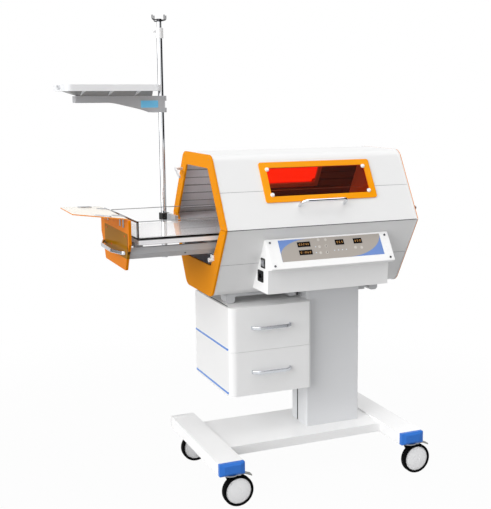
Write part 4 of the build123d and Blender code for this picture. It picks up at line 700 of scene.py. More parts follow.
@dataclass(frozen=True)
class TubAcrylic(Finish):
    """The crib's clear acrylic, near-black along the edges of its left wall."""

    edge_colour: Colour
    line_colour: Colour
    wall: float = 6.5
    line: float = 3.0

    def shader(self, graph: Graph) -> Wire:
        """Clear sheet, near-black along the left wall's edges and grey along the top rim and far corners."""
        low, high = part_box("crib_tub")
        x, y, z = graph.spot()
        left = x < low.x + self.wall * MM
        rim = z > high.z - self.wall * MM
        near = abs(y - (low.y + high.y) / 2) > (high.y - low.y) / 2 - self.wall * MM
        edge = left * rim.at_least(near)
        corner = near * (x > high.x - self.wall * MM)
        thin = (z > high.z - self.line * MM).at_least(corner) * 0.9
        colour = graph.clouded(self.colour, TUB_HAZE, toned(self.colour, 0.9))
        clear = graph.principled({"Base Color": colour, "Roughness": 0.01, "IOR": 1.1,
                                  "Transmission Weight": 1.0})
        dark = graph.principled({"Base Color": self.edge_colour, "Roughness": 0.1, "Coat Weight": 0.5})
        grey = graph.principled({"Base Color": self.line_colour, "Roughness": 0.2, "Coat Weight": 0.5})
        return graph.mixed(edge, graph.mixed(thin, clear, grey), dark)


@dataclass(frozen=True)
class LampGlass(Finish):
    """A row of lamp tubes: frosted glass, metal end caps, and plastic holders. The glass glows faintly, a
    painted light that brightens the reflectors, though the lamps are off.
    """

    cap_colour: Colour
    holder_colour: Colour
    layout: Layout
    tube_length: float = 590.0
    cap_length: float = 16.0
    painted_glow: float = 0.7

    def shader(self, graph: Graph) -> Wire:
        """Colour and metal by how far the point is from the row's middle."""
        x, _, _ = graph.spot()
        reach = abs(x - self.layout.centre_x)
        holder = reach > self.tube_length / 2 * MM
        cap = (reach > (self.tube_length / 2 - self.cap_length) * MM) * (1.0 - holder)
        glass = graph.clouded(self.colour, LAMP_FROST, toned(self.colour, 0.8))
        colour = graph.blend(holder, graph.blend(cap, glass, self.cap_colour), self.holder_colour)
        # Painted light: the glass glows though the lamps are off.
        light = graph.blend(holder.at_least(cap), glass, DARK)
        return graph.principled({"Base Color": colour, "Metallic": cap, "Roughness": 0.22 + holder * 0.2,
                                 "Coat Weight": 0.3, "Emission Color": light, "Emission Strength": self.painted_glow})


@dataclass(frozen=True)
class ConsoleFace:
    """The console's tilted face: its lower edge from the light box's middle, and its own directions."""

    layout: Layout
    middle: float = 14.0
    lip_y: float = -389.0
    lip_z: float = 916.0
    top_y: float = -318.0
    top_z: float = 1026.0

    @property
    def up(self) -> Vector:
        """Direction up the face."""
        return Vector((0.0, self.top_y - self.lip_y, self.top_z - self.lip_z)).normalized()

    @property
    def out(self) -> Vector:
        """Direction out of the face."""
        return RIGHT.cross(self.up)

    @property
    def origin(self) -> Vector:
        """Middle of the face's lower edge."""
        return self.layout.at(self.middle, self.lip_y, self.lip_z)

    def matrix(self, across: float, rise: float, proud: float) -> Matrix:
        """The face's directions at a place, in millimetres across the face, up it and out of it."""
        place = self.origin + (RIGHT * across + self.up * rise + self.out * proud) * MM
        return facing(place, self.out, self.up)


@dataclass(frozen=True)
class OverlayFilm(Finish):
    """The console's printed film: a plain field, two curved corners and black display windows."""

    corner_colour: Colour
    display_colour: Colour
    face: ConsoleFace
    width: float = 455.0
    height: float = 93.0
    low: float = 30.0
    offset: float = 6.0
    display_proud: float = 0.55
    left_reach: float = 0.30
    left_foot: float = 0.28
    right_reach: float = 0.36

    def shader(self, graph: Graph) -> Wire:
        """Colour by the point's place on the face."""
        x, y, z = graph.spot()
        origin, up, out = self.face.origin, self.face.up, self.face.out
        across = (x - origin.x + (self.width / 2 - self.offset) * MM) / (self.width * MM)
        behind = y - origin.y
        above = z - origin.z
        rise = (behind * up.y + above * up.z - self.low * MM) / (self.height * MM)
        proud = behind * out.y + above * out.z
        from_left = (1.0 - across / self.left_reach).at_least(0.0)
        over_foot = ((rise - self.left_foot) / (1.0 - self.left_foot)).at_least(0.0)
        left = (from_left * from_left + over_foot * over_foot) > 1.0
        from_right = ((across - 1.0 + self.right_reach) / self.right_reach).at_least(0.0)
        under_top = (1.0 - rise).at_least(0.0)
        right = (from_right * from_right + under_top * under_top) > 1.0
        corner = (left * (from_left > 0.0)).at_least(right * (from_right > 0.0))
        field = graph.clouded(self.colour, PRINT_GRAIN, toned(self.colour, 0.75))
        film = graph.blend(corner, field, self.corner_colour)
        display = proud > self.display_proud * MM
        return graph.principled({"Base Color": graph.blend(display, film, self.display_colour),
                                 "Roughness": 0.42 - display * 0.2, "Specular IOR Level": 0.06,
                                 "Normal": graph.bump(graph.noise(1600.0, 1.0), 0.00002)})


@dataclass(frozen=True)
class Glow(Finish):
    """A lit display segment or signal lamp."""

    strength: float = 1.0

    def shader(self, graph: Graph) -> Wire:
        """Its own light, a little uneven, over a dark body."""
        light = graph.clouded(self.colour, GLOW_GRAIN, toned(self.colour, 0.7))
        return graph.principled({"Base Color": toned(self.colour, 0.4), "Roughness": 0.3,
                                 "Emission Color": light, "Emission Strength": self.strength})


class Palette:
    """Every finish of the unit."""

    white = Coating("coat_white", seen(236, 236, 236))
    white_base = Coating("coat_base_white", seen(254, 254, 254), 0.24, lacquer=0.3, scuffing=0.03)
    column = Coating("coat_column", seen(226, 227, 229), 0.3)
    rail = Coating("coat_rail", seen(188, 189, 191), 0.38)
    frame_grey = Coating("coat_frame_grey", seen(206, 207, 209), 0.42)
    console = Coating("moulded_console", seen(250, 250, 250), 0.34, Skin.SPARK_GRAIN)
    drawer = Coating("moulded_drawer", seen(248, 248, 248), 0.3, Skin.SATIN)
    drawer_sheet = Metal("sheet_drawer", seen(190, 192, 195), 0.4, Lay.ALONG_Y, metallic=0.8)
    cap = EndCap("moulded_cap_blue", seen(52, 120, 214), 0.3, Skin.SATIN)
    stripe = Coating("stripe_blue", seen(74, 132, 214), 0.3, Skin.SATIN, lacquer=0.3)
    plate_blue = Coating("plate_blue", seen(128, 212, 255), 0.4, Skin.SATIN)
    groove = Coating("groove_dark", seen(58, 60, 63), 0.6, Skin.SATIN)
    tyre = Coating("tyre_rubber", seen(7, 7, 8), 0.6, Skin.SPARK_GRAIN, 0.2, gloss=0.03)
    slot_shade = Coating("painted_slot_shade", seen(14, 14, 15), 0.6, Skin.SATIN, gloss=0.05)
    disc = Coating("wheel_disc", seen(250, 250, 251), 0.32, Skin.SATIN)
    yoke = Metal("plated_yoke", seen(150, 152, 156), 0.34, Lay.CAST)
    pedal = Coating("moulded_pedal", seen(150, 150, 146), 0.45, Skin.SPARK_GRAIN)
    chrome = Metal("chrome", seen(228, 230, 233), 0.07, Lay.MIRROR, 0.04)
    handle = Metal("satin_handle", seen(214, 217, 222), 0.22, Lay.ALONG_X, 0.1)
    bracket = BracketMetal("pole_bracket", seen(206, 207, 210), 0.35, Lay.UPRIGHT, 0.1, 0.2)
    rod = SplitMetal("hook_chrome", seen(228, 230, 233), 0.08, Lay.UPRIGHT, 0.04, 0.9,
                     seen(60, 60, 64), 1903.0)
    hinge = Metal("plated_hinge", seen(170, 172, 178), 0.3, Lay.CAST)
    latch = Metal("plated_latch", seen(224, 225, 228), 0.3, Lay.CAST, 0.1, 0.5)
    screw_small = Metal("screw_end", seen(176, 140, 96), 0.35, Lay.CAST)
    case = CaseCoat("moulded_case", seen(250, 250, 250), 0.34, Skin.SPARK_GRAIN)
    rocker = Coating("moulded_rocker", seen(150, 152, 156), 0.35, Skin.SATIN)
    panel = EndPanel("sheet_orange_panel", seen(232, 138, 22), 0.2, Skin.SATIN, gloss=0.03)
    joint = Coating("joint_shadow", seen(140, 141, 143), 0.5, Skin.SATIN)
    tray = TrayMetal("crib_tray_metal", seen(250, 250, 252), 0.4, Lay.ALONG_X, 0.1, 0.1)
    orange = Acrylic("sheet_orange", seen(234, 147, 22))
    flap = FlapSheet("sheet_orange_flap", seen(232, 140, 36))
    rubber_white = Coating("buffer_rubber", seen(204, 204, 202), 0.6, Skin.SPARK_GRAIN)
    black = Coating("moulded_black", seen(20, 20, 22), 0.4, Skin.SPARK_GRAIN, 0.4, gloss=0.08)
    screw_white = Coating("screw_white", seen(246, 246, 246), 0.25, Skin.SATIN)
    screw_dark = Metal("screw_dark", seen(92, 93, 98), 0.35, Lay.CAST)
    screw_red = Coating("screw_red", seen(226, 70, 20), 0.3, Skin.SATIN)
    collar = Coating("collar_white", seen(238, 238, 238), 0.35, Skin.SPARK_GRAIN)
    arm = Coating("moulded_arm", seen(192, 193, 196), 0.42, Skin.SPARK_GRAIN)
    shelf = TrayCoat("moulded_shelf", seen(240, 241, 243), 0.4, Skin.SPARK_GRAIN)
    key = Coating("key_face", seen(205, 200, 194), 0.45, Skin.SATIN)
    amber_digit = Glow("digit_amber", seen(222, 160, 84), 0.8)
    lamp_dot = Glow("signal_white", seen(214, 224, 236), 0.6)

    def __init__(self, layout: Layout) -> None:
        """Makes the finishes that depend on where the light box and the console stand.

        Args:
            layout: The light box's middle.
        """
        self.face = ConsoleFace(layout)
        self.film = OverlayFilm("film_overlay", seen(178, 171, 164), seen(118, 148, 208), seen(14, 13, 14),
                                self.face)
        self.pane = WindowPane("pane_amber", seen(250, 160, 8), (1.0, 0.12, 0.03, 1.0), layout)
        self.hood_slats = Slats("reflector_hood", seen(236, 237, 239), 0.4, Lay.ALONG_X, 0.1, 0.0,
                                layout=layout, side=HOOD_SIDE, joints=8)
        self.lower_slats = replace(self.hood_slats, name="reflector_lower", side=HOUSING_SIDE, joints=5)
        self.door = DoorSheet("sheet_orange_door", seen(222, 126, 10), plate_and_shade_colour=seen(156, 108, 18),
                              line_colour=seen(96, 64, 20), layout=layout)
        self.tub = TubAcrylic("tub_clear", (0.99, 0.99, 0.99, 1.0), seen(24, 24, 26), seen(150, 152, 155))
        self.lamps = LampGlass("lamp_tubes", seen(214, 226, 240), seen(196, 198, 202), seen(232, 232, 232),
                               layout)


def facing(origin: Vector, out: Vector, up: Vector) -> Matrix:
    """A matrix at origin whose Z points out and whose Y points up.

    Args:
        origin: Where it stands.
        out: Its Z direction.
        up: Its Y direction, square to out.

    Returns:
        The matrix.
    """
    far = out.normalized()
    high = up.normalized()
    return Matrix.Translation(origin) @ Matrix((high.cross(far), high, far)).transposed().to_4x4()


def slab(width: float, depth: float, height: float, edge: float, steps: int = 3) -> bmesh.types.BMesh:
    """A block round the origin with rounded edges.

    Args:
        width: Size along X in metres.
        depth: Size along Y.
        height: Size along Z.
        edge: Radius of its edges.
        steps: Faces across a rounded edge.

    Returns:
        The mesh.
    """
    made = bmesh.new()
    bmesh.ops.create_cube(made, size=1.0)
    bmesh.ops.scale(made, vec=(width, depth, height), verts=made.verts)
    bmesh.ops.bevel(made, geom=made.edges[:], offset=edge, segments=steps, profile=0.5, affect="EDGES")
    return made


def lathe(profile: Profile, steps: int = 72) -> bmesh.types.BMesh:
    """Turns a profile about Z.

    Args:
        profile: Points of radius and place along Z, in metres; a point on the axis has radius 0.
        steps: Faces round the piece.

    Returns:
        The mesh.
    """
    made = bmesh.new()
    turns = [2 * math.pi * step / steps for step in range(steps)]
    circle = [(math.cos(turn), math.sin(turn)) for turn in turns]
    rings = [[made.verts.new((radius * x, radius * y, along)) for x, y in (circle if radius else circle[:1])]
             for radius, along in profile]
    for near, far in zip(rings, rings[1:]):
        for step in range(steps):
            after = (step + 1) % steps
            corners = (near[step % len(near)], near[after % len(near)],
                       far[after % len(far)], far[step % len(far)])
            made.faces.new(list(dict.fromkeys(corners)))
    bmesh.ops.remove_doubles(made, verts=made.verts[:], dist=0.000001)
    bmesh.ops.recalc_face_normals(made, faces=made.faces[:])
    return made


def prism(outline: Sequence[tuple[float, float]], thickness: float) -> bmesh.types.BMesh:
    """A flat shape in X and Y raised along Z.

    Args:
        outline: Its corners in order, in metres.
        thickness: How far it is raised.

    Returns:
        The mesh.
    """
    made = bmesh.new()
    face = made.faces.new([made.verts.new((x, y, 0.0)) for x, y in outline])
    raised = bmesh.ops.extrude_face_region(made, geom=[face])
    tops = [part for part in raised["geom"] if isinstance(part, bmesh.types.BMVert)]
    bmesh.ops.translate(made, vec=(0.0, 0.0, thickness), verts=tops)
    bmesh.ops.recalc_face_normals(made, faces=made.faces[:])
    return made


def turned(radius: float, height: float, shares: Profile, steps: int) -> bmesh.types.BMesh:
    """A small turned piece that stands on Z = 0.

    Args:
        radius: Its radius in millimetres.
        height: Its height in millimetres.
        shares: Its profile in shares of the radius and of the height.
        steps: Faces round the piece.

    Returns:
        The mesh.
    """
    return lathe([(radius * out * MM, height * up * MM) for out, up in shares], steps)


def join(meshes: Sequence[tuple[bmesh.types.BMesh, Matrix]]) -> bmesh.types.BMesh:
    """Several meshes, each put in place by its matrix, as one."""
    whole = bmesh.new()
    for part, place in meshes:
        part.transform(place)
        data = mesh_data("part", part)
        whole.from_mesh(data)
        bpy.data.meshes.remove(data)
    return whole


def screws(radius: float, height: float, places: Sequence[Matrix]) -> bmesh.types.BMesh:
    """Dome screws of that radius and height in millimetres at the places, as one mesh."""
    return join([(turned(radius, height, DOME_SCREW, 28), place) for place in places])


def mesh_data(name: str, mesh: bmesh.types.BMesh) -> bpy.types.Mesh:
    """Turns a mesh, which is used up, into mesh data of that name."""
    data = bpy.data.meshes.new(name)
    mesh.to_mesh(data)
    mesh.free()
    return data


def in_scene(name: str, data: bpy.types.ID | None) -> bpy.types.Object:
    """A new object of the scene that shows the data."""
    made = bpy.data.objects.new(name, data)
    bpy.context.scene.collection.objects.link(made)
    return made


@dataclass
class Assembly:
    """A group of the unit's pieces."""

    layout: Layout
    palette: Palette

    def dress(self, finishes: Mapping[Finish, str]) -> None:
        """Gives CAD pieces their finishes.

        Args:
            finishes: For each finish the names of its pieces, with spaces between.
        """
        for finish, nodes in finishes.items():
            for node in nodes.split():
                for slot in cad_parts[node].material_slots:
                    slot.material = finish.material()
                log.info("%s has finish %s", node, finish.name)

    def add(self, name: str, mesh: bmesh.types.BMesh, finish: Finish, body: str, slot: str,
            place: Matrix = HERE) -> bpy.types.Object:
        """Makes a piece that rides on a body.

        Args:
            name: The piece's name.
            mesh: Its mesh, which is used up.
            finish: Its finish.
            body: The body that carries it.
            slot: Not used.
            place: Where it stands.

        Returns:
            The piece.
        """
        mesh.transform(place)
        data = mesh_data(name, mesh)
        data.polygons.foreach_set("use_smooth", [True] * len(data.polygons))
        data.set_sharp_from_angle(angle=SHARP_ANGLE)
        data.materials.append(finish.material())
        piece = in_scene(name, data)
        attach(piece, body)
        log.info("%s built on %s", name, body)
        return piece


@dataclass
class Casters(Assembly):
    """Four casters with turned wheels: a rounded tyre on a domed disc."""

    tyre_radius: float = 62.5
    tyre_half_width: float = 16.0
    tyre_round: float = 7.0
    round_steps: int = 6
    disc_radius: float = 52.0
    dome_top: float = 15.2
    dome_drop: float = 4.2
    disc_back: float = 14.5
    hub_radius: float = 12.0
    bore_radius: float = 6.05
    bore_end: float = 9.8
    rim_width: float = 4.0
    recess: float = 4.0
    hub_line: float = 0.8

    def tyre(self) -> Profile:
        """The tyre's section, closed."""
        inner, outer = self.disc_radius + 0.2, self.tyre_radius
        half, curve = self.tyre_half_width, self.tyre_round
        turns = [math.pi / 2 * step / self.round_steps for step in range(self.round_steps + 1)]
        front = [(outer - curve * (1 - math.sin(turn)), half - curve * (1 - math.cos(turn)))
                 for turn in turns]
        back = [(radius, -along) for radius, along in reversed(front)]
        points = [(inner, half - 3), (inner + 2, half - 0.6), *front, *back, (inner + 2, -half + 0.6),
                  (inner, -half + 3), (inner, half - 3)]
        return [(radius * MM, along * MM) for radius, along in points]

    def disc(self) -> Profile:
        """The disc from the middle of its domed front round to the end of its bore."""
        edge, back, hub = self.disc_radius, -self.disc_back, self.hub_radius

        def dome(radius: float) -> float:
            """Height of the domed front at a radius."""
            return self.dome_top - self.dome_drop * (radius / edge) ** 2

        groove = dome(hub) - self.hub_line
        points = [(0.0, dome(0)), (hub * 0.6, dome(hub * 0.6)), (hub, dome(hub)), (hub + 0.4, groove),
                  (hub + 1.2, groove), (hub + 1.6, dome(hub + 1.6))]
        points += [(edge * share, dome(edge * share)) for share in (0.45, 0.6, 0.75, 0.88, 0.95)]
        rim, floor = edge - self.rim_width, back + self.recess
        points += [(edge, dome(edge) - 1.2), (edge, back), (rim, back), (rim - 0.5, floor), (hub + 1, floor),
                   (hub, back), (self.bore_radius, back), (self.bore_radius, self.bore_end),
                   (0.0, self.bore_end)]
        return [(radius * MM, along * MM) for radius, along in points]

    def build(self) -> None:
        """Dresses the yokes and pedals and builds the wheels."""
        for row in ("front", "rear"):
            for side in ("left", "right"):
                name = f"caster_{row}_{side}"
                self.dress({self.palette.yoke: name + "_yoke", self.palette.pedal: name + "_pedal"})
                low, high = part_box(name + "_wheel")
                place = facing((low + high) / 2, FRONT, UP)
                on_roller = (name + "_roller", "caster_wheel", place)
                disc = self.add(name + "_disc", lathe(self.disc()), self.palette.disc, *on_roller)
                self.add(name + "_tyre", lathe(self.tyre()), self.palette.tyre, *on_roller)
                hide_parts(name + "_wheel")


@dataclass
class Stand(Assembly):
    """Base frame, column, support frame and cabinet with its drawers."""

    stripe_heights: tuple[float, float] = (565.0, 382.0)
    stripe_front: float = -201.0
    stripe_back: float = 199.0
    stripe_height: float = 9.0
    stripe_proud: float = 1.2
    stripe_flat: float = 0.7
    cabinet_front: float = -223.0
    corner_radius: float = 34.0
    corner_steps: int = 5
    groove_inset: float = 12.0
    groove_width: float = 5.0
    groove_height: float = 1.2
    groove_shortening: float = 40.0
    groove_offset: float = 10.0
    slot_shade_y: float = -81.5
    slot_shade_depth: float = -0.4
    slot_shade_thickness: float = 0.7
    slot_shade_width: float = 8.0
    slot_shade_inset: float = 3.0

    def stripe(self, middle: float) -> bmesh.types.BMesh:
        """A raised strip along the cabinet's left side and round the start of its front corner."""
        low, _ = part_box("cabinet_shell")
        flat_front = self.cabinet_front + self.corner_radius
        bend = math.asin((flat_front - self.stripe_front) / self.corner_radius)
        turns = [bend * step / self.corner_steps for step in range(self.corner_steps + 1)]
        run = [(0.0, 0.0, self.stripe_back)]
        run += [(turn, self.corner_radius * (1 - math.cos(turn)),
                 flat_front - self.corner_radius * math.sin(turn)) for turn in turns]
        made = bmesh.new()
        sections = []
        half = self.stripe_height / 2
        section = ((-half, 0.0), (-half * self.stripe_flat, 1.0), (half * self.stripe_flat, 1.0), (half, 0.0))
        for turn, inward, y in run:
            foot = Vector((low.x + inward * MM, self.layout.centre_y + y * MM, middle * MM))
            out = Vector((-math.cos(turn), -math.sin(turn), 0.0)) * self.stripe_proud * MM
            sections.append([made.verts.new(foot + out * share + UP * rise * MM) for rise, share in section])
        for near, far in zip(sections, sections[1:]):
            for step in range(4):
                after = (step + 1) % 4
                made.faces.new([near[step], near[after], far[after], far[step]])
        made.faces.new(sections[0])
        made.faces.new(list(reversed(sections[-1])))
        bmesh.ops.recalc_face_normals(made, faces=made.faces[:])
        return made

    def build(self) -> None:
        """Dresses the stand and adds the cabinet's stripes and groove, and a near-black strip of painted shade
        over the column's slot.
        """
        palette = self.palette
        self.dress({
            palette.white_base: "base_frame", palette.cap: "leg_end_caps", palette.column: "column_casing",
            palette.frame_grey: "support_frame", palette.white: "cabinet_shell",
        })
        for row in ("upper", "lower"):
            self.dress({
                palette.drawer: row + "_drawer_front", palette.drawer_sheet: row + "_drawer_box",
                palette.handle: row + "_drawer_handle",
            })
        for name, middle in zip(("upper_stripe", "lower_stripe"), self.stripe_heights):
            self.add(name, self.stripe(middle), palette.stripe, "frame", "blue_cap")
        low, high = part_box("cabinet_shell")
        length = high.y - low.y - self.groove_shortening * MM
        spot = (low.x + self.groove_inset * MM, (low.y + high.y) / 2 + self.groove_offset * MM, high.z)
        self.add("cabinet_groove", slab(self.groove_width * MM, length, self.groove_height * MM, 0.0004),
                 palette.groove, "frame", "black_plastic", Matrix.Translation(spot))
        # Painted shade: a near-black strip on the column's left face stands for the dark inside of its slot.
        low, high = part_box("column_casing")
        length = high.z - low.z - 2 * self.slot_shade_inset * MM
        spot = (low.x + self.slot_shade_depth * MM, self.layout.at(0.0, self.slot_shade_y, 0.0).y, (low.z + high.z) / 2)
        self.add("column_slot_shade", slab(self.slot_shade_thickness * MM, self.slot_shade_width * MM, length, 0.0002, 1),
                 palette.slot_shade, "frame", "black_plastic", Matrix.Translation(spot))


@dataclass
class LightBox(Assembly):
    """Housing and hood with their end plates, windows, lamps and fittings."""

    end_face: float = 429.0
    housing_screws: Profile = ((150.0, 797.0), (207.0, 880.0), (309.0, 1052.0))
    hood_screws: Profile = ((150.0, 1334.0), (242.0, 1208.0), (308.0, 1092.0))
    screw_radius: float = 2.4
    screw_height: float = 1.0
    gasket_y: float = 333.7
    gasket_depth: float = 1.2
    gasket_height: float = 2.6
    joint_height: float = 1.4
    joint_depth: float = 0.5
    joint_lines: tuple[tuple[str, str, Slope, float], ...] = (
        ("hood_joint_line", "hood", HOOD_SIDE, 161.0),
        ("housing_joint_line", "frame", HOUSING_SIDE, 175.0),
    )
    knob_y: float = -295.0
    knob_z: float = 1114.0
    knob_radius: float = 9.0
    knob_height: float = 11.0

    def end_screws(self, name: str, side: int, places: Profile, body: str) -> None:
        """Small screws round an end plate, on both its halves.

        Args:
            name: Name of the piece that they make.
            side: -1 for the left end plate, 1 for the right one.
            places: Their places along Y and Z, which are mirrored to the other half.
            body: The body that carries them.
        """
        spots = [facing(self.layout.at(side * self.end_face, half * y, z), RIGHT * side, UP)
                 for y, z in places for half in (-1, 1)]
        heads = screws(self.screw_radius, self.screw_height, spots)
        self.add(name, heads, self.palette.screw_small, body, "hinge_steel")

    def build(self) -> None:
        """Dresses the light box and adds its gasket, joint lines, screws and knob."""
        palette = self.palette
        self.dress({
            palette.white: "lower_housing hood_shell", palette.orange: "lower_end_ring hood_end_ring",
            palette.panel: "lower_end_panel hood_end_panel", palette.hood_slats: "hood_reflector",
            palette.lower_slats: "lower_reflector", palette.lamps: "hood_lamp_tubes lower_lamp_tubes",
            palette.pane: "hood_windows", palette.screw_white: "window_screws",
            palette.chrome: "hood_handle", palette.hinge: "hood_hinges bed_guides",
            palette.latch: "ring_latch", palette.rubber_white: "door_buffers",
        })
        low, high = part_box("lower_housing")
        length = high.x - low.x
        strips = [(slab(length, self.gasket_depth * MM, self.gasket_height * MM, 0.0002, 1),
                   Matrix.Translation(self.layout.at(0.0, side * self.gasket_y, HOOD_SIDE.seam_height)))
                  for side in (-1, 1)]
        self.add("seam_gasket", join(strips), palette.groove, "frame", "black_plastic")
        for name, body, side, rise in self.joint_lines:
            line = slab(length, self.joint_height * MM, self.joint_depth * MM, 0.0001, 1)
            self.add(name, line, palette.joint, body, "black_plastic", side.matrix(self.layout, rise))
        ends = (("lower", self.housing_screws, "frame"), ("hood", self.hood_screws, "hood"))
        for half, places, body in ends:
            self.end_screws(half + "_ring_screws", -1, places, body)
            self.end_screws(half + "_panel_screws", 1, places, body)
        knob = turned(self.knob_radius, self.knob_height, KNOB, 36)
        place = facing(self.layout.at(self.end_face, self.knob_y, self.knob_z), RIGHT, UP)
        self.add("hood_panel_knob", knob, palette.hinge, "hood", "hinge_steel", place)


@dataclass(frozen=True)
class Readout:
    """One display window: its middle and size on the console's face in millimetres, and its number."""

    name: str
    across: float
    rise: float
    width: float
    height: float
    number: str


@dataclass
class Console(Assembly):
    """The control box with its film, displays, keys and fittings. Places are across and up its face."""

    readouts: tuple[Readout, ...] = (
        Readout("upper_timer", -114.5, 98.5, 56.0, 22.0, "00245"),
        Readout("lower_timer", -114.0, 63.5, 57.0, 21.0, "01860"),
        Readout("left_reading", 44.0, 97.5, 39.0, 23.0, "365"),
        Readout("right_reading", 126.5, 97.5, 39.0, 23.0, "350"),
    )
    keys: Profile = ((-46.6, 114.5), (-14.8, 112.4), (-48.7, 83.7), (-19.0, 84.8), (-49.8, 57.2),
                     (-21.2, 57.2), (110.3, 68.9), (137.8, 66.8))
    arrows: tuple[tuple[float, float, float], ...] = ((-19.0, 84.8, 1.0), (-21.2, 57.2, -1.0))
    lamps: Profile = ((-65.7, 84.8), (-68.9, 59.4), (13.8, 63.6), (31.5, 63.6), (49.2, 63.6), (66.8, 63.6))
    film_proud: float = 0.4
    display_proud: float = 1.2
    digit_height: float = 0.36
    digit_width: float = 0.6
    digit_room: float = 0.86
    digit_gap: float = 0.74
    digit_stroke: float = 0.18
    digit_break: float = 0.12
    digit_slant: float = 0.14
    digit_thickness: float = 0.25
    key_radius: float = 6.0
    key_height: float = 0.6
    lamp_radius: float = 2.4
    arrow_size: float = 3.4
    arrow_foot: float = 2.38
    arrow_thickness: float = 0.3

    segments = {"0": "abcdef", "1": "bc", "2": "abdeg", "3": "abcdg", "4": "bcfg", "5": "acdfg",
                "6": "acdefg", "8": "abcdefg"}

    def digits(self, readout: Readout) -> bmesh.types.BMesh:
        """The lit segments of a display's number, in its own plane."""
        height = readout.height * self.digit_height
        pitch = readout.width * self.digit_room / len(readout.number)
        width = min(height * self.digit_width, pitch * self.digit_gap)
        bar = width * self.digit_stroke
        reach, side = (height - bar) / 2, (width - bar) / 2
        spots = {"a": (0.0, reach), "g": (0.0, 0.0), "d": (0.0, -reach), "b": (side, reach / 2),
                 "c": (side, -reach / 2), "f": (-side, reach / 2), "e": (-side, -reach / 2)}
        lit = []
        for place, number in enumerate(readout.number):
            middle = (place - (len(readout.number) - 1) / 2) * pitch
            for letter in self.segments[number]:
                x, y = spots[letter]
                upright = x != 0.0
                half = (reach if upright else 2 * side) / 2 - bar * self.digit_break
                near = half - bar / 2
                shape = ((-half, 0.0), (-near, bar / 2), (near, bar / 2), (half, 0.0), (near, -bar / 2),
                         (-near, -bar / 2))
                corners = [(x + b, y + a) if upright else (x + a, y + b) for a, b in shape]
                outline = [((middle + a + b * self.digit_slant) * MM, b * MM) for a, b in corners]
                lit.append((prism(outline, self.digit_thickness * MM), HERE))
        return join(lit)

    def arrow(self, way: float) -> bmesh.types.BMesh:
        """A flat arrow head that points up where way is 1 and down where it is -1."""
        size, foot = self.arrow_size * MM, -self.arrow_foot * MM * way
        return prism([(-size, foot), (size, foot), (0.0, size * way)], self.arrow_thickness * MM)

    def build(self) -> None:
        """Dresses the console and adds digits, keys, arrows and signal lamps."""
        palette, face = self.palette, self.palette.face
        self.dress({
            palette.console: "console_bezel", palette.case: "console_case", palette.film: "console_overlay",
            palette.screw_dark: "console_screws", palette.black: "mains_inlet",
            palette.rocker: "rocker_switch",
        })
        for readout in self.readouts:
            place = face.matrix(readout.across, readout.rise, self.display_proud)
            self.add("digits_" + readout.name, self.digits(readout), palette.amber_digit, "frame",
                     "overlay_film", place)
        caps = [(turned(self.key_radius, self.key_height, KEY_CAP, 32), face.matrix(*spot, self.film_proud))
                for spot in self.keys]
        marks = [(self.arrow(way), face.matrix(across, rise, self.film_proud + self.key_height))
                 for across, rise, way in self.arrows]
        dots = [(turned(self.lamp_radius, self.lamp_radius, LAMP_DOME, 24),
                 face.matrix(*spot, self.film_proud)) for spot in self.lamps]
        for name, meshes, finish in (("keys", caps, palette.key), ("arrows", marks, palette.black),
                                     ("lamps", dots, palette.lamp_dot)):
            self.add("console_" + name, join(meshes), finish, "frame", "overlay_film")


@dataclass
class Bed(Assembly):
    """The sliding bed: carriage, crib, door and flap."""

    door_face: float = -778.5
    door_screws: Profile = ((129.0, 1052.0), (-162.0, 1052.0), (55.0, 993.0))
    screw_radius: float = 4.0
    screw_height: float = 1.4
    rail_screws: tuple[float, ...] = (-542.0, -300.0)
    rail_screw_height: float = 974.0
    rail_half_width: float = 178.0

    def build(self) -> None:
        """Dresses the bed and adds its screws."""
        palette = self.palette
        self.dress({
            palette.rail: "bed_carriage", palette.tray: "crib_tray", palette.tub: "crib_tub",
            palette.door: "bed_door", palette.flap: "flap", palette.handle: "door_handle",
            palette.hinge: "flap_fittings flap_hinges",
        })
        on_door = [facing(self.layout.at(self.door_face, y, z), LEFT, UP) for y, z in self.door_screws]
        on_rails = [facing(self.layout.at(x, side * self.rail_half_width, self.rail_screw_height),
                           Vector((0.0, side, -1.0)), Vector((0.0, side, 1.0)))
                    for x in self.rail_screws for side in (-1, 1)]
        size = (self.screw_radius, self.screw_height)
        self.add("door_screws", screws(*size, on_door), palette.screw_red, "bed", "orange_door")
        self.add("rail_screws", screws(*size, on_rails), palette.screw_dark, "bed", "hinge_steel")


@dataclass
class PoleAndShelf(Assembly):
    """The pole with its hooks, brackets and swinging shelf."""

    plate_x: float = -514.0
    plate_z: float = 1548.5
    plate_width: float = 78.0
    plate_height: float = 31.0
    plate_thickness: float = 1.0

    def build(self) -> None:
        """Dresses the pole and shelf and adds the arm's plain blue plate."""
        palette = self.palette
        self.dress({
            palette.chrome: "pole", palette.rod: "hook_rod", palette.bracket: "pole_brackets",
            palette.collar: "hook_collar", palette.arm: "shelf_arm", palette.shelf: "shelf_tray",
        })
        low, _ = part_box("shelf_arm")
        spot = self.layout.at(self.plate_x, 0.0, self.plate_z)
        plate = slab(self.plate_width * MM, self.plate_thickness * MM, self.plate_height * MM, 0.0004, 2)
        place = Matrix.Translation((spot.x, low.y, spot.z))
        self.add("arm_plate", plate, palette.plate_blue, "shelf", "arm_grey", place)


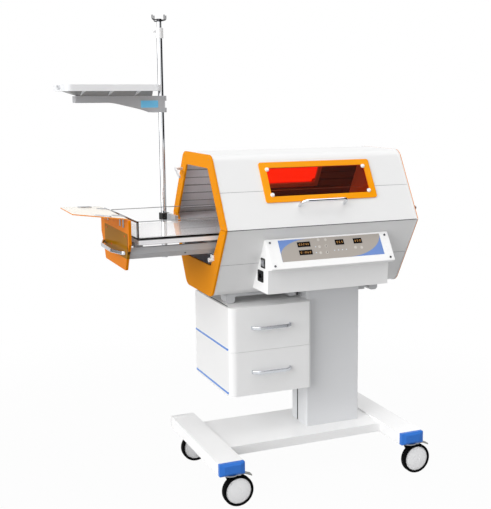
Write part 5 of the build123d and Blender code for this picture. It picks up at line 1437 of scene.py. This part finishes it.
@dataclass
class Studio:
    """Floor, background, lamps and camera."""

    floor_half: float = 9.0
    floor_near: float = 1.1
    floor_far: float = 2.6
    floor_colour: Colour = (0.42, 0.42, 0.42, 1.0)
    floor_glow: float = 0.97
    ambient: float = 0.5
    key_strength: float = 1.5
    key_from: tuple[float, float, float] = (-0.9, -0.32, 0.3)
    top_strength: float = 0.75
    top_from: tuple[float, float, float] = (0.1, -0.1, 1.0)
    soft_angle: float = 60.0
    card_places: tuple[tuple[float, float, float], ...] = (
        (1.87, -1.82, 2.4), (2.8, 0.0, 2.0), (-2.2, 2.4, 1.6))
    card_height: float = 3.2
    card_thickness: float = 0.1
    card_colour: Colour = (0.02, 0.02, 0.022, 1.0)
    camera_place: tuple[float, float, float] = (-1.4206, -3.7816, 1.590)
    camera_angles: tuple[float, float, float] = (24.138, 9.052, 0.226)
    camera_lens: float = 67.53
    camera_film: float = 36.0
    camera_shift: tuple[float, float] = (-0.0874, -0.0167)

    def background(self) -> None:
        """A world that is white to the eye and softer as a light."""
        scene = bpy.context.scene
        if scene.world is None:
            scene.world = bpy.data.worlds.new("studio")
        scene.world.use_nodes = True
        graph = Graph(scene.world.node_tree)
        level = self.ambient + graph.plain_rays() * (1.0 - self.ambient)
        graph.finish(graph.node("ShaderNodeBackground", inputs={0: WHITE, 1: level}), "ShaderNodeOutputWorld")

    def prop(self, name: str, mesh: bmesh.types.BMesh, material: bpy.types.Material) -> bpy.types.Object:
        """A piece of the studio.

        Args:
            name: Its name.
            mesh: Its mesh, which is used up.
            material: Its material.

        Returns:
            The piece.
        """
        data = mesh_data(name, mesh)
        data.materials.append(material)
        return in_scene(name, data)

    def floor(self) -> None:
        """A pale floor that turns into the white background further out."""
        mesh = bmesh.new()
        bmesh.ops.create_grid(mesh, x_segments=1, y_segments=1, size=self.floor_half)
        material, graph = node_material("floor_pale")
        x, y, _ = graph.spot()
        plain = graph.node("ShaderNodeBsdfDiffuse", inputs={0: self.floor_colour})
        bright = graph.node("ShaderNodeEmission", inputs={0: WHITE, 1: 1.0})
        far = (x * x + y * y).root().eased(self.floor_near, self.floor_far)
        share = self.floor_glow + far * (1.0 - self.floor_glow)
        graph.finish(graph.mixed(graph.plain_rays() * share, plain, bright))
        floor = self.prop("floor", mesh, material)

    def cards(self) -> None:
        """Dark upright cards off to the sides, which only shiny metal shows."""
        material, graph = node_material("card_dark")
        graph.finish(graph.node("ShaderNodeBsdfDiffuse", inputs={0: self.card_colour}))
        for number, (x, y, width) in enumerate(self.card_places):
            mesh = slab(width, width * self.card_thickness, self.card_height, 0.01)
            mesh.transform(facing(Vector((x, y, self.card_height / 2)), UP, Vector((x, y, 0.0))))
            card = self.prop(f"card_{number}", mesh, material)
            for rays in ("camera", "diffuse", "transmission", "shadow"):
                setattr(card, "visible_" + rays, False)

    def lamp(self, name: str, source: Sequence[float], strength: float) -> None:
        """A soft distant lamp.

        Args:
            name: The lamp's name.
            source: Direction that the light comes from.
            strength: How bright a white face square to it is.
        """
        light = bpy.data.lights.new(name, "SUN")
        light.energy = strength * math.pi / 2
        light.angle = math.radians(self.soft_angle)
        lamp = in_scene(name, light)
        lamp.rotation_mode = "QUATERNION"
        lamp.rotation_quaternion = Vector(source).to_track_quat("Z", "Y")

    def camera(self) -> None:
        """The camera at the photograph's angle, for an image of 491 by 509."""
        yaw, pitch, roll = (math.radians(angle) for angle in self.camera_angles)
        ahead = Vector((math.sin(yaw) * math.cos(pitch), math.cos(yaw) * math.cos(pitch), -math.sin(pitch)))
        right = Vector((math.cos(yaw), -math.sin(yaw), 0.0))
        down = ahead.cross(right)
        across = math.cos(roll) * right + math.sin(roll) * down
        below = -math.sin(roll) * right + math.cos(roll) * down
        turn = Matrix((across, -below, -ahead)).transposed().to_4x4()
        data = bpy.data.cameras.new("camera")
        data.lens, data.sensor_width = self.camera_lens, self.camera_film
        data.shift_x, data.shift_y = self.camera_shift
        camera = in_scene("camera", data)
        camera.matrix_world = Matrix.Translation(self.camera_place) @ turn
        bpy.context.scene.camera = camera

    def build(self) -> None:
        """Sets up the whole studio, camera first."""
        self.camera()
        bpy.context.scene.view_settings.view_transform = "Standard"
        self.background()
        self.floor()
        self.cards()
        self.lamp("key_lamp", self.key_from, self.key_strength)
        self.lamp("top_lamp", self.top_from, self.top_strength)
        log.info("studio built")


def main() -> None:
    """Builds the studio, then each assembly in order."""
    logging.basicConfig(level=logging.INFO, format="%(message)s")
    Studio().build()
    layout = Layout.from_frame()
    palette = Palette(layout)
    for assembly in (Casters, Stand, LightBox, Console, Bed, PoleAndShelf):
        assembly(layout, palette).build()


if __name__ == "__main__":
    main()
